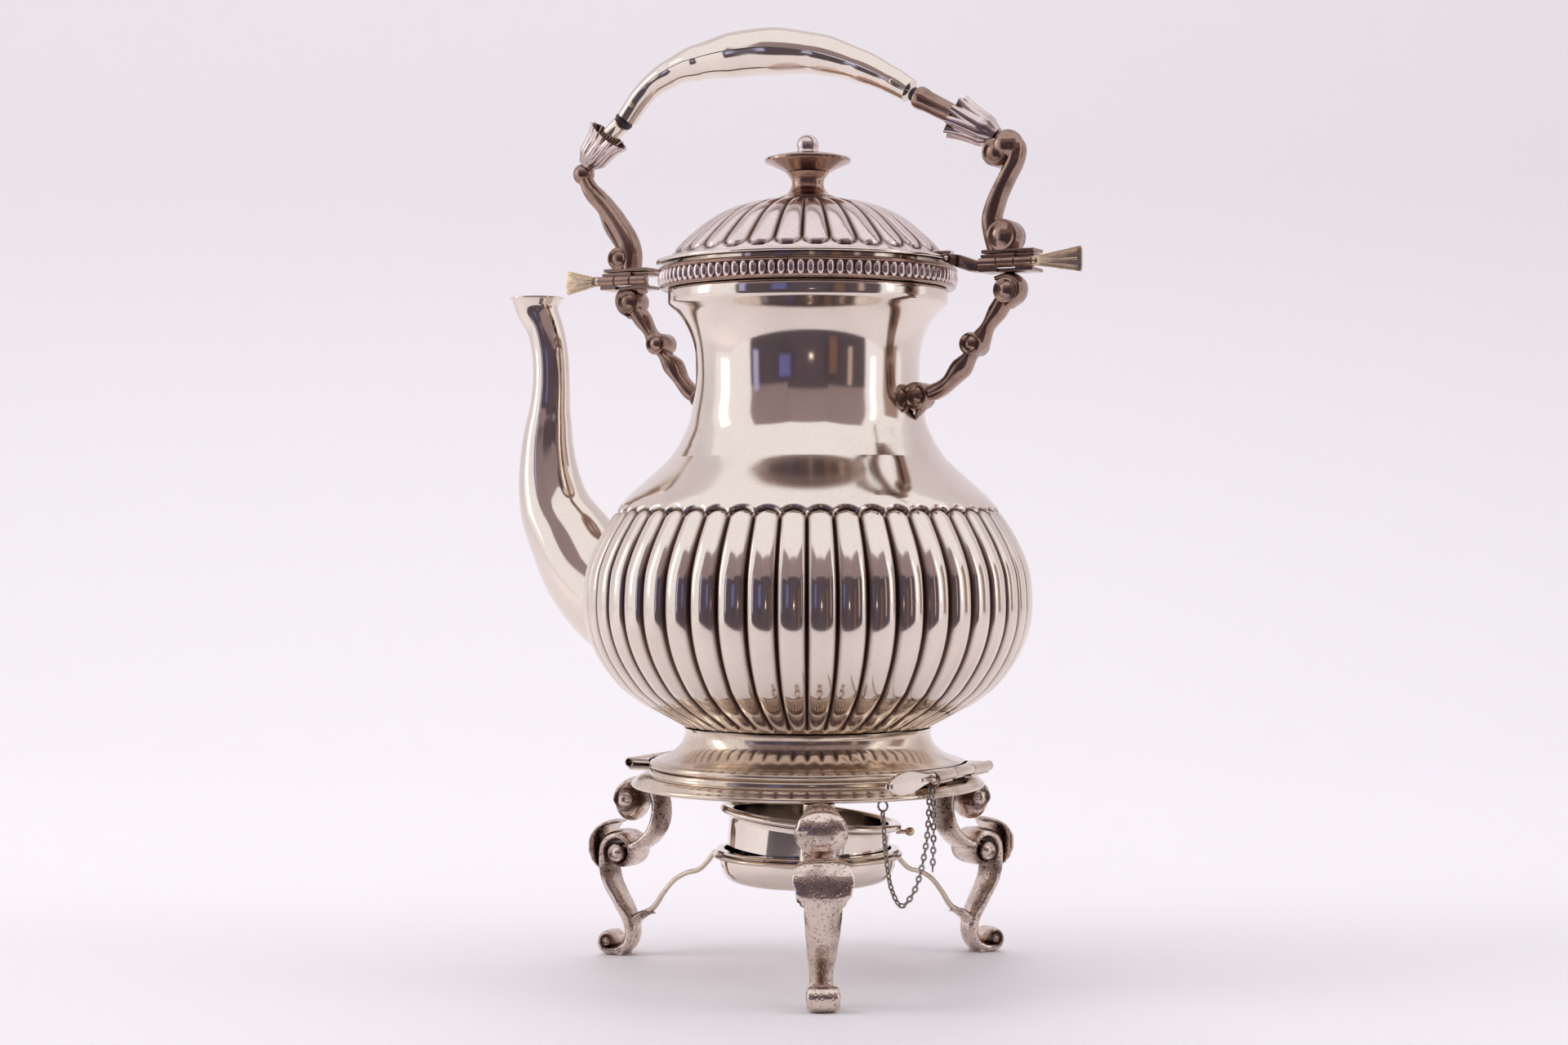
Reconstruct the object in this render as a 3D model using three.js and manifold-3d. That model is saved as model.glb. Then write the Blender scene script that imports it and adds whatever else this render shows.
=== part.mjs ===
// Spirit kettle on its burner stand: a fluted round kettle with a bail handle, a hinged lid and
// a swan-neck spout, pinned to a three-legged stand that carries a spirit burner.
// Millimetres, +Z up. The spout points to -X, the lid hinge and the release pin are on +X, and
// the handle, the spout and both handle hinges lie in the X-Z plane. Profiles are given as
// [radius, height] round the kettle's axis, and paths as [x, z] in the X-Z plane.
import * as THREE from 'three';
import { mergeVertices } from 'three/addons/utils/BufferGeometryUtils.js';
import Module from 'manifold-3d';

const wasm = await Module();
wasm.setup();

// ---------------------------------------------------------------- driving dimensions
const AXIS_X = 9.5; // the kettle's axis, measured from the middle of the whole object
const GAP = 0.35; // between pieces that touch
const LOBES = 48; // convex flutes round the bowl
const LOBE_DEPTH = 1.5;
const BOWL_R = 87.7;
const WALL = 1.4;
const NECK_R = 43.8;
const COLLAR_R = 54.9;
const LID_R = 59.2;
const LID_LOBES = 30;
const LID_HINGE = { x: 61.4, z: 275.8, r: 1.8, length: 10 };
const HANDLE_HINGE = { y: -6.5, z: 273, r: 1.9, length: 21.5, back: 86, spout: -80 };
const FOOT_HINGE = { x: 65.6, z: 80.8, r: 2, half: 26.5 }; // both tangent barrels of the foot
const PIN_R = 0.9;
const FOOT_PIN_R = 1.1;
const BORE_GAP = 0.35;
const FLANGE_R = 62; // the kettle's foot
const RING_R = 69; // the stand's ring
const RING_BORE = 50;
const LEG_ANGLES = { spout: 180, front: -60, rear: 60 };
const BURNER_R = 34;
const BURNER_TILT = 6; // the sleeve sits askew in its bowl, in degrees
const CHAIN_R = 0.9;
const SEGMENTS = 26;

// ---------------------------------------------------------------- finishes
const FINISH = {
  silver: { color: 0xd9d2cb, roughness: 0.16, metalness: 1 },
  dull: { color: 0xb9a48f, roughness: 0.28, metalness: 1 },
  brass: { color: 0xa9834f, roughness: 0.3, metalness: 1 },
  dark: { color: 0x2a2220, roughness: 0.5, metalness: 0 },
  wick: { color: 0xd8d0b8, roughness: 0.95, metalness: 0 },
};

// ---------------------------------------------------------------- making solids
function solid(geometry) {
  const g = geometry.clone();
  g.deleteAttribute('normal');
  g.deleteAttribute('uv');
  const merged = mergeVertices(g, 1e-4);
  const kept = [];
  for (let i = 0; i < merged.index.count; i += 3) {
    const [a, b, c] = [0, 1, 2].map((k) => merged.index.getX(i + k));
    if (a !== b && b !== c && c !== a) kept.push(a, b, c);
  }
  const build = (tris) => new wasm.Manifold(new wasm.Mesh({
    numProp: 3,
    vertProperties: Float32Array.from(merged.attributes.position.array),
    triVerts: Uint32Array.from(tris),
  }));
  const made = build(kept);
  if (made.volume() > 0) return made;
  const turned = [];
  for (let i = 0; i < kept.length; i += 3) turned.push(kept[i], kept[i + 2], kept[i + 1]);
  return build(turned);
}

function mesh(name, body, finish) {
  const { vertProperties, triVerts } = body.getMesh();
  const g = new THREE.BufferGeometry();
  g.setAttribute('position', new THREE.BufferAttribute(Float32Array.from(vertProperties), 3));
  g.setIndex(new THREE.BufferAttribute(Uint32Array.from(triVerts), 1));
  g.computeVertexNormals();
  const m = new THREE.Mesh(g, new THREE.MeshStandardMaterial(FINISH[finish]));
  m.name = name;
  return m;
}

const join = (...bodies) => bodies.reduce((all, one) => all.add(one));
const cut = (body, ...tools) => tools.reduce((all, one) => all.subtract(one), body);

// A solid of revolution round Z; ripple(angle, r, z) is taken off its radius.
function lathe(profile, segments = SEGMENTS, ripple = null) {
  const points = profile.map(([r, z]) => new THREE.Vector2(r, z));
  const g = new THREE.LatheGeometry(points, segments).rotateX(Math.PI / 2);
  const p = g.attributes.position;
  for (let i = 0; ripple && i < p.count; i += 1) {
    const [x, y, z] = [p.getX(i), p.getY(i), p.getZ(i)];
    const r = Math.hypot(x, y);
    const k = r > 0 ? 1 - ripple(Math.atan2(y, x), r, z) / r : 1;
    p.setXYZ(i, x * k, y * k, z);
  }
  return solid(g);
}

function box([x0, x1], [y0, y1], [z0, z1]) {
  const g = new THREE.BoxGeometry(x1 - x0, y1 - y0, z1 - z0);
  return solid(g.translate((x0 + x1) / 2, (y0 + y1) / 2, (z0 + z1) / 2));
}

// A round bar between two points, straight or tapered.
function rod(from, to, r0, r1 = r0, sides = 10) {
  const [a, b] = [new THREE.Vector3(...from), new THREE.Vector3(...to)];
  const along = b.clone().sub(a);
  const g = new THREE.CylinderGeometry(r1, r0, along.length(), sides);
  g.applyQuaternion(new THREE.Quaternion().setFromUnitVectors(
    new THREE.Vector3(0, 1, 0), along.clone().normalize()));
  return solid(g.translate(...a.add(b).multiplyScalar(0.5).toArray()));
}

const ball = (x, y, z, r) => solid(new THREE.SphereGeometry(r, 10, 6).translate(x, y, z));
const barY = (x, z, y0, y1, r, sides = 10) => rod([x, y0, z], [x, y1, z], r, r, sides);
const barX = (y, z, x0, x1, r, sides = 10) => rod([x0, y, z], [x1, y, z], r, r, sides);

// Piecewise-linear size along a path: [[fraction, size], ...].
function along(table) {
  return (t) => {
    const i = Math.max(1, table.findIndex(([f]) => f >= t));
    const [[f0, s0], [f1, s1]] = [table[i - 1], table[i]];
    return s0 + ((s1 - s0) * (t - f0)) / (f1 - f0);
  };
}

// Bends a bar along a path in the X-Z plane: sides 0 gives a flat band, else a round bar.
// half is its half thickness in the plane, wide its half width across the plane.
function sweep(path, half, wide, sides = 0, steps = 12) {
  const curve = new THREE.CatmullRomCurve3(
    path.map(([x, z]) => new THREE.Vector3(x, 0, z)), false, 'centripetal');
  const g = sides
    ? new THREE.CylinderGeometry(1, 1, 1, sides, steps)
    : new THREE.BoxGeometry(2, 1, 2, 1, steps, 1);
  const p = g.attributes.position;
  for (let i = 0; i < p.count; i += 1) {
    const t = THREE.MathUtils.clamp(p.getY(i) + 0.5, 0, 1);
    const at = curve.getPointAt(t);
    const dir = curve.getTangentAt(t);
    const reach = p.getX(i) * half(t);
    p.setXYZ(i, at.x + dir.z * reach, p.getZ(i) * wide(t), at.z - dir.x * reach);
  }
  return solid(g);
}

// A flat plate cut from an outline in the X-Z plane, thickness along Y.
function plateXZ(outline, y0, y1, hole = null) {
  const shape = new THREE.Shape(outline.map(([x, z]) => new THREE.Vector2(x, z)));
  if (hole) shape.holes.push(new THREE.Path().absarc(hole[0], hole[1], hole[2], 0, 2 * Math.PI));
  const g = new THREE.ExtrudeGeometry(shape, { depth: y1 - y0, bevelEnabled: false, curveSegments: 6 });
  return solid(g.rotateX(Math.PI / 2).translate(0, y1, 0));
}

// A flat plate from an outline seen from above.
function plateXY(outline, z0, z1) {
  const shape = new THREE.Shape(outline.map(([x, y]) => new THREE.Vector2(x, y)));
  const g = new THREE.ExtrudeGeometry(shape, { depth: z1 - z0, bevelEnabled: false });
  return solid(g.translate(0, 0, z0));
}

function placed(body, angle) {
  const m = new THREE.Matrix4().makeRotationZ(THREE.MathUtils.degToRad(angle));
  return body.transform(m.elements);
}

const mirrorX = (path) => path.map(([x, z]) => [-x, z]);
const shell = (outer, inner) => [...outer, ...inner.slice().reverse(), outer[0]];
const inset = (profile, wall) => profile.map(([r, z]) => [r - wall, z]);

// ---------------------------------------------------------------- kettle body
const BOWL_OUT = [[73.4, 182], [78.2, 174.6], [86, 158.6], [BOWL_R - 0.4, 141], [81.5, 121.6],
  [65.1, 105], [48.6, 96]];
const BOWL_BOTTOM = [[0, 91.6]];
const NECK_OUT = [[73.1, 182 + GAP], [56.8, 197.8], [48.4, 209.6], [45, 221.5], [NECK_R, 236.2],
  [45.4, 247.4], [50.9, 257], [54.7, 261], [COLLAR_R, 266]];
const SPOUT_PATH = [[-78, 141], [-86.9, 145.5], [-98.6, 155.3], [-108.4, 168.7], [-115.4, 180],
  [-118.8, 192], [-119.8, 205.7], [-119, 219], [-118.1, 232.6], [-118.8, 246], [-121.4, 256],
  [-124.2, 261.6], [-125, 264.6], [-125.1, 267.2]];
const SPOUT_SIZE = [[0, 23], [0.07, 22], [0.17, 20], [0.28, 17.6], [0.36, 15.6], [0.44, 13.6],
  [0.54, 11.4], [0.63, 9.6], [0.72, 7.8], [0.82, 7.4], [0.91, 7.6], [0.97, 9.2], [1, 10.7]];

// The lobes fade out in round arches at the shoulder and run into the foot's groove.
function lobes(angle, r, z) {
  const fade = THREE.MathUtils.clamp((182 - z) / 8, 0, 1);
  return LOBE_DEPTH * (r / BOWL_R) * fade * (1 - Math.abs(Math.cos((angle * LOBES) / 2)));
}

function spoutChannel() {
  const bore = SPOUT_SIZE.map(([t, r]) => [t, r - 1.5]);
  const path = [[-66, 134], ...SPOUT_PATH.slice(1, -1), [-125.1, 268.4]];
  return sweep(path, along(bore), along(bore), 10, 11);
}

function kettleBowl() {
  const inner = [[71.6, 182], [83.8, 156], [78, 120.8], [46, 98.2], [0, 94.2]];
  const profile = [...BOWL_OUT, ...BOWL_BOTTOM, ...inner.slice().reverse(), BOWL_OUT[0]];
  const body = lathe(profile, 2 * LOBES, (a, r, z) => (r > 48 ? lobes(a, r, z) * outside(r, z) : 0));
  return cut(body, spoutChannel());
}

// 1 on the bowl's outer skin and 0 on its smooth inner skin.
function outside(r, z) {
  return BOWL_OUT.some(([pr, pz]) => Math.hypot(pr - r, pz - z) < 0.05) ? 1 : 0;
}

function kettleNeck() {
  return lathe(shell(NECK_OUT, inset(NECK_OUT, WALL)));
}

// The envelope that every attached piece stops short of.
function bodyEnvelope() {
  const grown = [...NECK_OUT.slice().reverse(), ...BOWL_OUT].map(([r, z]) => [r + GAP, z]);
  return lathe([[0, 266], ...grown, [0, 96]], LOBES);
}

function rimBorder() {
  return lathe([[51, 266.35], [57.6, 266.35], [59, 268], [59, 272.8], [57.6, 274.5], [51, 274.5],
    [51, 266.35]], 40, (a, r) => (r > 58 ? 0.9 * (1 - Math.abs(Math.cos(a * 10))) : 0));
}

function kettleFoot() {
  return lathe([[48.4, 95.1], [48.3, 92.2], [49.6, 89], [52.2, 86.4], [56, 84.2], [60, 82.6],
    [FLANGE_R, 82.4], [FLANGE_R, 80], [57, 80], [50.6, 85.4], [47, 89.6], [47, 95.1], [48.4, 95.1]]);
}

function spout() {
  const body = sweep(SPOUT_PATH, along(SPOUT_SIZE), along(SPOUT_SIZE), 14, 12);
  return cut(body, spoutChannel(), bodyEnvelope());
}

// String of rolls that carries one handle hinge; side is +1 at the back, -1 at the spout. The back one
// stands out a little further than the one over the spout.
const BRACKET_SPINES = {
  back: [[85, 263.4], [80.5, 255.6], [75.8, 248.8], [71.8, 242.4], [68, 237.4], [64.6, 233.4], [59, 227.8],
    [53, 225], [44, 224]],
  spout: [[80, 263.8], [74.6, 257.6], [70.4, 251.6], [67, 246.6], [63.2, 241.8], [60, 237.8], [55.8, 231.6],
    [51.4, 227], [44, 224.2]],
};

function bracket(side) {
  const spine = side > 0 ? BRACKET_SPINES.back : BRACKET_SPINES.spout;
  const band = sweep(spine, along([[0, 2.6], [0.3, 2.4], [0.62, 3.4], [1, 2]]), along([[0, 5], [1, 4.4]]));
  const rolls = [[spine[0][0] - 0.6, 264.9, 4.4], [spine[3][0] - 1, spine[3][1] + 0.6, 4.4],
    [spine[7][0] - 4.5, spine[7][1] - 0.6, side > 0 ? 5.2 : 3.6]];
  const body = join(band, ...rolls.map(([x, z, r]) => barY(x, z, -5, 5, r, 14)));
  return cut(side > 0 ? body : body.mirror([1, 0, 0]), bodyEnvelope());
}

// ---------------------------------------------------------------- hinges
// The three knuckles of a handle hinge, end to end along X.
function handleSpans(middle) {
  const { length } = HANDLE_HINGE;
  const third = length / 3;
  return [0, 1, 2].map((i) => [middle - length / 2 + i * third + (i ? 0.2 : 0),
    middle - length / 2 + (i + 1) * third - (i < 2 ? 0.2 : 0)]);
}

function handleLeaf(middle, lower) {
  const { y, z, r, length } = HANDLE_HINGE;
  const ends = [middle - length / 2, middle + length / 2];
  const [low, high] = lower ? [z - 3.4, z - 2.1] : [z + 2.1, z + 3.4];
  const plate = box(ends, [y + 1.6, 5], [low, high]);
  const own = handleSpans(middle).filter((_, i) => (lower ? i !== 1 : i === 1));
  const tabs = own.map((span) => box(span, [y, y + 2], lower ? [low, z - 1.3] : [z + 1.3, high]));
  const blank = join(plate, ...tabs, ...own.map(([a, b]) => barX(y, z, a, b, r)));
  return cut(blank, barX(y, z, ends[0] - 1, ends[1] + 1, PIN_R + BORE_GAP));
}

// A fan-headed pin through one handle hinge, its head outward.
function handlePin(side) {
  const { y, z, length, back, spout: front } = HANDLE_HINGE;
  const middle = side > 0 ? back : front;
  const root = middle + side * (length / 2 + 0.4);
  const reach = side > 0 ? 116.5 : -106.5;
  const shaft = barX(y, z, middle - side * (length / 2 + 0.3), root + side * 1.5, PIN_R);
  const head = plateXZ([[root, z - 2], [reach, z - 5], [reach + side * 0.01, z], [reach, z + 5],
    [root, z + 2]], y - 0.8, y + 0.8);
  return join(shaft, head);
}

// One leaf of a foot hinge: a plate that fills the gap between the round flange and the
// straight barrel. open leaves the knuckles free underneath, so they lift off the pin.
function footLeaf(side, { from, z0, z1, rows, open }) {
  const { x, z, r, half } = FOOT_HINGE;
  const edge = x - r - 0.4;
  const arc = [];
  for (let i = 0; i <= 6; i += 1) {
    const v = -half + (i * 2 * half) / 6;
    arc.push([Math.sqrt(from * from - v * v), v]);
  }
  const plate = plateXY([[edge, half], [edge, -half], ...arc], z0, z1);
  const tabs = rows.map(([a, b]) => box([edge - 0.5, x], [a, b], [z0, z1]));
  const blank = join(plate, ...tabs, ...rows.map(([a, b]) => barY(x, z, a, b, r)));
  const bore = barY(x, z, -half - 1, half + 1, FOOT_PIN_R + BORE_GAP);
  const slot = box([x - FOOT_PIN_R - BORE_GAP, x + FOOT_PIN_R + BORE_GAP], [-half, half], [z - 3, z]);
  const leaf = open ? cut(blank, bore, slot) : cut(blank, bore);
  return side > 0 ? leaf : leaf.mirror([1, 0, 0]);
}

function footRows(kettle) {
  const { half } = FOOT_HINGE;
  const step = (2 * half) / 3;
  return [0, 1, 2].filter((i) => (i % 2 === 1) === kettle)
    .map((i) => [-half + i * step + 0.2, -half + (i + 1) * step - 0.2]);
}

const kettleLeaf = (side) => footLeaf(side, {
  from: FLANGE_R + GAP, z0: 80.9, z1: 82.4, rows: footRows(true), open: side > 0 });
const standLeaf = (side) => footLeaf(side, {
  from: 61.5 + GAP, z0: 78, z1: 79.5, rows: footRows(false), open: false });

function pivotPin() {
  const { x, z, half } = FOOT_HINGE;
  return join(barY(-x, z, -half + 9, half + 1.2, FOOT_PIN_R),
    barY(-x, z, half + 0.4, half + 2.2, 1.9));
}

// Teardrop paddle on a shaft; the shaft locks the kettle's foot to the stand.
function releasePin() {
  const { x, z, half } = FOOT_HINGE;
  const outline = [];
  for (let i = 0; i <= 10; i += 1) {
    const t = i / 10;
    outline.push([-half - 3 - 38.5 * t, 1.5 + 2.6 * Math.sin(Math.PI * Math.pow(t, 1.35))]);
  }
  const shape = [...outline.map(([y, w]) => [y, z + w]), ...outline.reverse().map(([y, w]) => [y, z - w])];
  const paddle = plateXZ(shape, -0.8, 0.8, [-66, z, 0.7]);
  const turned = paddle.transform(new THREE.Matrix4().makeRotationZ(Math.PI / 2).elements);
  const blade = turned.transform(new THREE.Matrix4().makeTranslation(x, 0, 0).elements);
  return join(barY(x, z, -half - 4, half - 2, FOOT_PIN_R), blade);
}

function pinRing() {
  const { x, z, half } = FOOT_HINGE;
  return lathe([[2, 0], [2.5, 0.5], [3, 0], [2.5, -0.5], [2, 0]], 12)
    .rotate([90, 0, 0]).translate([x, -half - 1.6, z - 0.7]);
}

// ---------------------------------------------------------------- lid
function lidRim() {
  return lathe([[49.8, 268.5], [50.6, 268.5], [50.6, 275.9], [LID_R, 275.9], [LID_R, 277.6],
    [49.8, 277.6], [49.8, 268.5]]);
}

function lidDome() {
  const outer = [[54.2, 278], [53, 280], [46.4, 287.4], [36, 295.4], [22.4, 300.3], [0, 301.7]];
  const inner = [[52.4, 278], [44, 286.6], [25, 297.4], [0, 300.2]];
  const ripple = (a, r, z) => (outer.slice(1, 4).some(([pr, pz]) => Math.hypot(pr - r, pz - z) < 0.05)
    ? 1.2 * (r / 54) * (1 - Math.abs(Math.cos((a * LID_LOBES) / 2))) : 0);
  return lathe([...outer, ...inner.slice().reverse(), outer[0]], 2 * LID_LOBES, ripple);
}

function lidLeaf() {
  const { x, z, r, length } = LID_HINGE;
  const leaf = plateXY([[x - 0.6, -2.2], [x - 0.6, 2.2], [57, 4.5], [54.8, 0.01], [54.8, -0.01],
    [57, -4.5]], 277.95, 279);
  const knuckle = barY(x, z, -1.7, 1.7, r);
  const tab = box([x - 1.6, x], [-1.7, 1.7], [z + 1, 279]);
  return cut(join(leaf, tab, knuckle), barY(x, z, -length, length, 0.7 + BORE_GAP));
}

// The fixed half of the lid hinge: a bar from the back handle plate, forked round the lid's knuckle.
function lidHingeArm() {
  const { x, z, r, length } = LID_HINGE;
  const fork = [[-length / 2, -2.1], [2.1, length / 2]].map(([a, b]) => barY(x, z, a, b, r));
  const bar = plateXZ([[x, z - r], [x + 0.8, z + 1.6], [74.9, 273.6], [74.9, 270]], -length / 2, length / 2);
  const swing = barY(x, z, -2.1, 2.1, r + 0.6);
  return cut(join(cut(bar, swing), ...fork), barY(x, z, -length, length, 0.7 + BORE_GAP));
}

const lidHingePin = () => barY(LID_HINGE.x, LID_HINGE.z, -5.4, 5.4, 0.7);
const finialBase = () => lathe([[0, 302], [10, 302], [8.4, 303.4], [6.4, 306], [6.2, 309], [7.4, 312.4],
  [0, 312.4]], 16);
const finialDisc = () => lathe([[0, 312.8], [7.5, 312.8], [15.4, 314.6], [16.8, 316], [15.6, 317.6],
  [9, 319.2], [5, 320], [0, 320]], 20);
const finialButton = () => lathe([[0, 320.3], [3.2, 320.4], [4.1, 323], [3.4, 325.6], [1.8, 327],
  [0, 327.3]], 12);

// ---------------------------------------------------------------- handle
const GRIP_PATH = [[-81.1, 340.1], [-69.6, 352.5], [-58.2, 358.5], [-46.9, 360.3], [-32, 361.3],
  [-15.5, 361.6], [4.3, 358.7], [22, 352.8], [36, 346], [43.7, 341.3]];
const GRIP_HALF = [[0, 4.4], [0.12, 4.9], [0.3, 7.2], [0.42, 9.2], [0.53, 9.5], [0.68, 8],
  [0.82, 6.4], [0.93, 5.3], [1, 4.6]];

function armSpout() {
  const path = [[-79.5, 277.5], [-80, 285], [-84, 293], [-90.5, 302], [-98, 310.5], [-102, 318]];
  const band = sweep(path, along([[0, 2.6], [0.3, 3.4], [1, 2.2]]), along([[0, 5], [0.6, 4.2], [1, 3.4]]));
  const foot = box([-90, -70], [-5, 5], [HANDLE_HINGE.z + 3.4 + GAP, HANDLE_HINGE.z + 5.2]);
  return join(band, foot, barY(-84, 282.4, -5, 5, 4.5), ball(-102.5, 0, 318, 4.3));
}

function armBack() {
  const path = [[80.5, 277.5], [78.3, 289.7], [80.4, 297.3], [84.4, 306.3], [87, 313.8], [84.5, 318.5]];
  const band = sweep(path, along([[0, 2.6], [1, 2.4]]), along([[0, 5], [0.6, 4.2], [1, 3.4]]));
  const foot = box([75.5, 96.5], [-5, 5], [HANDLE_HINGE.z + 3.4 + GAP, HANDLE_HINGE.z + 5.2]);
  return join(band, foot, barY(83, 283.5, -5, 5, 6.4), ball(83.4, 0, 318, 5.2));
}

// Fluted calyx: an open cone that holds the ferrule's root.
function calyx(from, to, rimR, turn) {
  const dir = new THREE.Vector3(to[0] - from[0], 0, to[1] - from[1]);
  const l = dir.length();
  const cup = lathe([[0, 0], [3.2, 0], [4.6, l * 0.35], [rimR, l], [rimR - 1.2, l], [3.9, l * 0.42],
    [0, l * 0.36]], 16, (a, r, z) => (z > l * 0.9 ? 0.8 * (1 - Math.abs(Math.cos(a * 4 + turn))) : 0));
  const q = new THREE.Quaternion().setFromUnitVectors(new THREE.Vector3(0, 0, 1), dir.normalize());
  const m = new THREE.Matrix4().compose(new THREE.Vector3(from[0], 0, from[1]), q,
    new THREE.Vector3(1, 1, 1));
  return cup.transform(m.elements);
}

const calyxSpout = () => cut(calyx([-101.2, 321.6], [-91, 333.5], 8.3, 0), ball(-102.5, 0, 318, 4.7));
const calyxBack = () => cut(calyx([79.6, 321.2], [63.5, 330], 7.4, 0), ball(83.4, 0, 318, 5.6));
const ferruleSpout = () => cut(rod([-94.6, 0, 329.2], [-84.6, 0, 337.6], 3.1),
  calyx([-101.2, 321.6], [-91, 333.5], 8.3, 0));
const ferruleBack = () => rod([69, 0, 327.2], [46.9, 0, 339], 3.2, 3.4);
const insulatorSpout = () => rod([-84.2, 0, 337.9], [-82.3, 0, 339.4], 4.1);
const insulatorBack = () => rod([46.5, 0, 339.3], [44.9, 0, 340.2], 2.8);

// Two half shells, soldered along a seam that runs down both sides of the grip.
function gripShells() {
  const whole = sweep(GRIP_PATH, along(GRIP_HALF), along(GRIP_HALF), 10, 11);
  const seam = [[-84, 337.2], ...GRIP_PATH, [46, 339.9]];
  const slab = sweep(seam, along([[0, 0.16], [1, 0.16]]), along([[0, 12], [1, 12]]), 0, 12);
  const holes = [rivet([-77.5, 344], 0.8 + BORE_GAP, 12), rivet([38.2, 345], 0.8 + BORE_GAP, 12)];
  const halves = cut(whole, slab, ...holes).decompose().sort((a, b) => b.volume() - a.volume());
  const height = (m) => m.boundingBox().max[2];
  return halves.slice(0, 2).sort((a, b) => height(b) - height(a));
}

const rivet = ([x, z], r, half) => barY(x, z, -half, half, r, 10);

// ---------------------------------------------------------------- stand
function standRing() {
  return lathe([[52, 79.5], [61.5, 79.5], [61.5, 77.6], [64, 77.2], [67.5, 75.8], [RING_R, 74],
    [RING_R, 72.5], [RING_BORE, 72.5], [RING_BORE, 77.5], [52, 79.5]]);
}

// Cast leg: stem, two volutes, shank and scrolled foot, in the plane of its own radius.
function leg(angle) {
  const path = [[67.5, 72.15], [68, 60], [69.5, 52], [77, 43], [86, 38.5], [88.5, 30], [81.5, 18],
    [78.9, 10], [81.5, 2.6], [87.5, 1.6]];
  const wide = along([[0, 7.5], [0.35, 9], [0.5, 8], [0.75, 5.2], [1, 5.8]]);
  const band = sweep(path, along([[0, 2.6], [0.5, 3], [0.8, 2.4], [1, 1.6]]), wide, 0, 16);
  const rolls = [[77.2, 64, 7.6, 8], [83.4, 42, 9.6, 9], [88.5, 5.6, 5, 5.8]];
  const whole = join(band, ...rolls.map(([x, z, r, w]) => barY(x, z, -w, w, r, 12)),
    box([80.5, 88.5], [-5.8, 5.8], [0, 3]));
  return placed(cut(whole, box([50, 110], [-20, 20], [-9, 0])), angle);
}

function brace(angle) {
  const path = [[78.2, 15.5], [70, 19.5], [65, 26], [60, 31.5], [54.5, 34.7], [48.8, 36.4],
    [44.6, 40], [41.6, 44.6], [39.3, 45.6]];
  const wire = sweep(path, along([[0, 1], [1, 1]]), along([[0, 1], [1, 1]]), 6, 10);
  return cut(placed(wire, angle), legEnvelope(angle), cradleEnvelope());
}

const legEnvelope = (angle) => placed(sweep([[88.5, 30], [81.5, 18], [78.9, 10], [81.5, 2.6]],
  along([[0, 3.1], [1, 3.1]]), along([[0, 9], [1, 9]])), angle);
const cradle = (grow) => lathe([[34.9 - grow, 44.4 - grow], [38.6 + grow, 44.4 - grow],
  [38.6 + grow, 46.4 + grow], [34.9 - grow, 46.4 + grow], [34.9 - grow, 44.4 - grow]]);
const cradleEnvelope = () => cradle(GAP);

// ---------------------------------------------------------------- burner
function burnerBowl() {
  return lathe([[0, 34.5], [21, 34.5], [28, 37], [32.5, 41], [BURNER_R, 46.8], [36.6, 47], [36.6, 48],
    [32.6, 48], [31, 41.6], [20, 36], [0, 36]]);
}

// Collar with a rolled lip, standing a little askew on the bowl.
function burnerSleeve() {
  const up = lathe([[31.7, 40], [31.7, 58], [33.8, 58.4], [35.8, 59.6], [35.8, 61], [34, 61.8],
    [30.6, 61], [30.6, 40], [31.7, 40]]);
  const axis = new THREE.Vector3(Math.sin(Math.PI * 0.15), -Math.cos(Math.PI * 0.15), 0);
  const tip = new THREE.Matrix4().makeTranslation(0, 0, 48)
    .multiply(new THREE.Matrix4().makeRotationAxis(axis, -THREE.MathUtils.degToRad(BURNER_TILT)))
    .multiply(new THREE.Matrix4().makeTranslation(0, 0, -48));
  return cut(up.transform(tip.elements), box([-50, 50], [-50, 50], [0, 48 + GAP]));
}

const burnerPlate = () => lathe([[5, 49.2], [28.5, 49.2], [28.5, 50.2], [5, 50.2], [5, 49.2]], 20);
const wickTube = () => lathe([[3.4, 38], [4.6, 38], [4.6, 56], [3.4, 56], [3.4, 38]], 12);
const wick = () => rod([0, 0, 39], [0, 0, 57.5], 3);
const burnerKnob = () => join(ball(34.6, 20.4, 54, 1.8), rod([29.8, 17.2, 54], [34, 20, 54], 0.8));

// ---------------------------------------------------------------- chain
function chainEye() {
  return lathe([[1.2, 0], [1.9, 0.6], [2.6, 0], [1.9, -0.6], [1.2, 0]], 10)
    .rotate([90, 0, 0]).translate([46.5, -30.5, 69.5]);
}

// A chain as one solid along its own route in space.
function chain(points, steps) {
  const curve = new THREE.CatmullRomCurve3(points.map((p) => new THREE.Vector3(...p)));
  const shape = new THREE.Shape();
  for (let i = 0; i < 8; i += 1) {
    const a = (i * Math.PI) / 4;
    shape[i ? 'lineTo' : 'moveTo'](CHAIN_R * Math.cos(a), CHAIN_R * Math.sin(a));
  }
  return solid(new THREE.ExtrudeGeometry(shape, { steps, extrudePath: curve, bevelEnabled: false }));
}

const CHAIN_MAIN = [[46.5, -30.5, 66.4], [47.6, -30.3, 52], [50, -29.9, 38], [53.6, -29.4, 32.4],
  [58.5, -28.8, 38], [63.2, -28.2, 56], [64.6, -28, 76]];
const CHAIN_TAIL = [[66.6, -29.6, 75.9], [67, -30, 66], [67, -30.2, 56], [66.6, -30, 47.5]];

// ---------------------------------------------------------------- assembly
const kettleAssembly = new THREE.Group();
kettleAssembly.position.x = AXIS_X;
const add = (name, body, finish) => kettleAssembly.add(mesh(name, body, finish));

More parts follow.
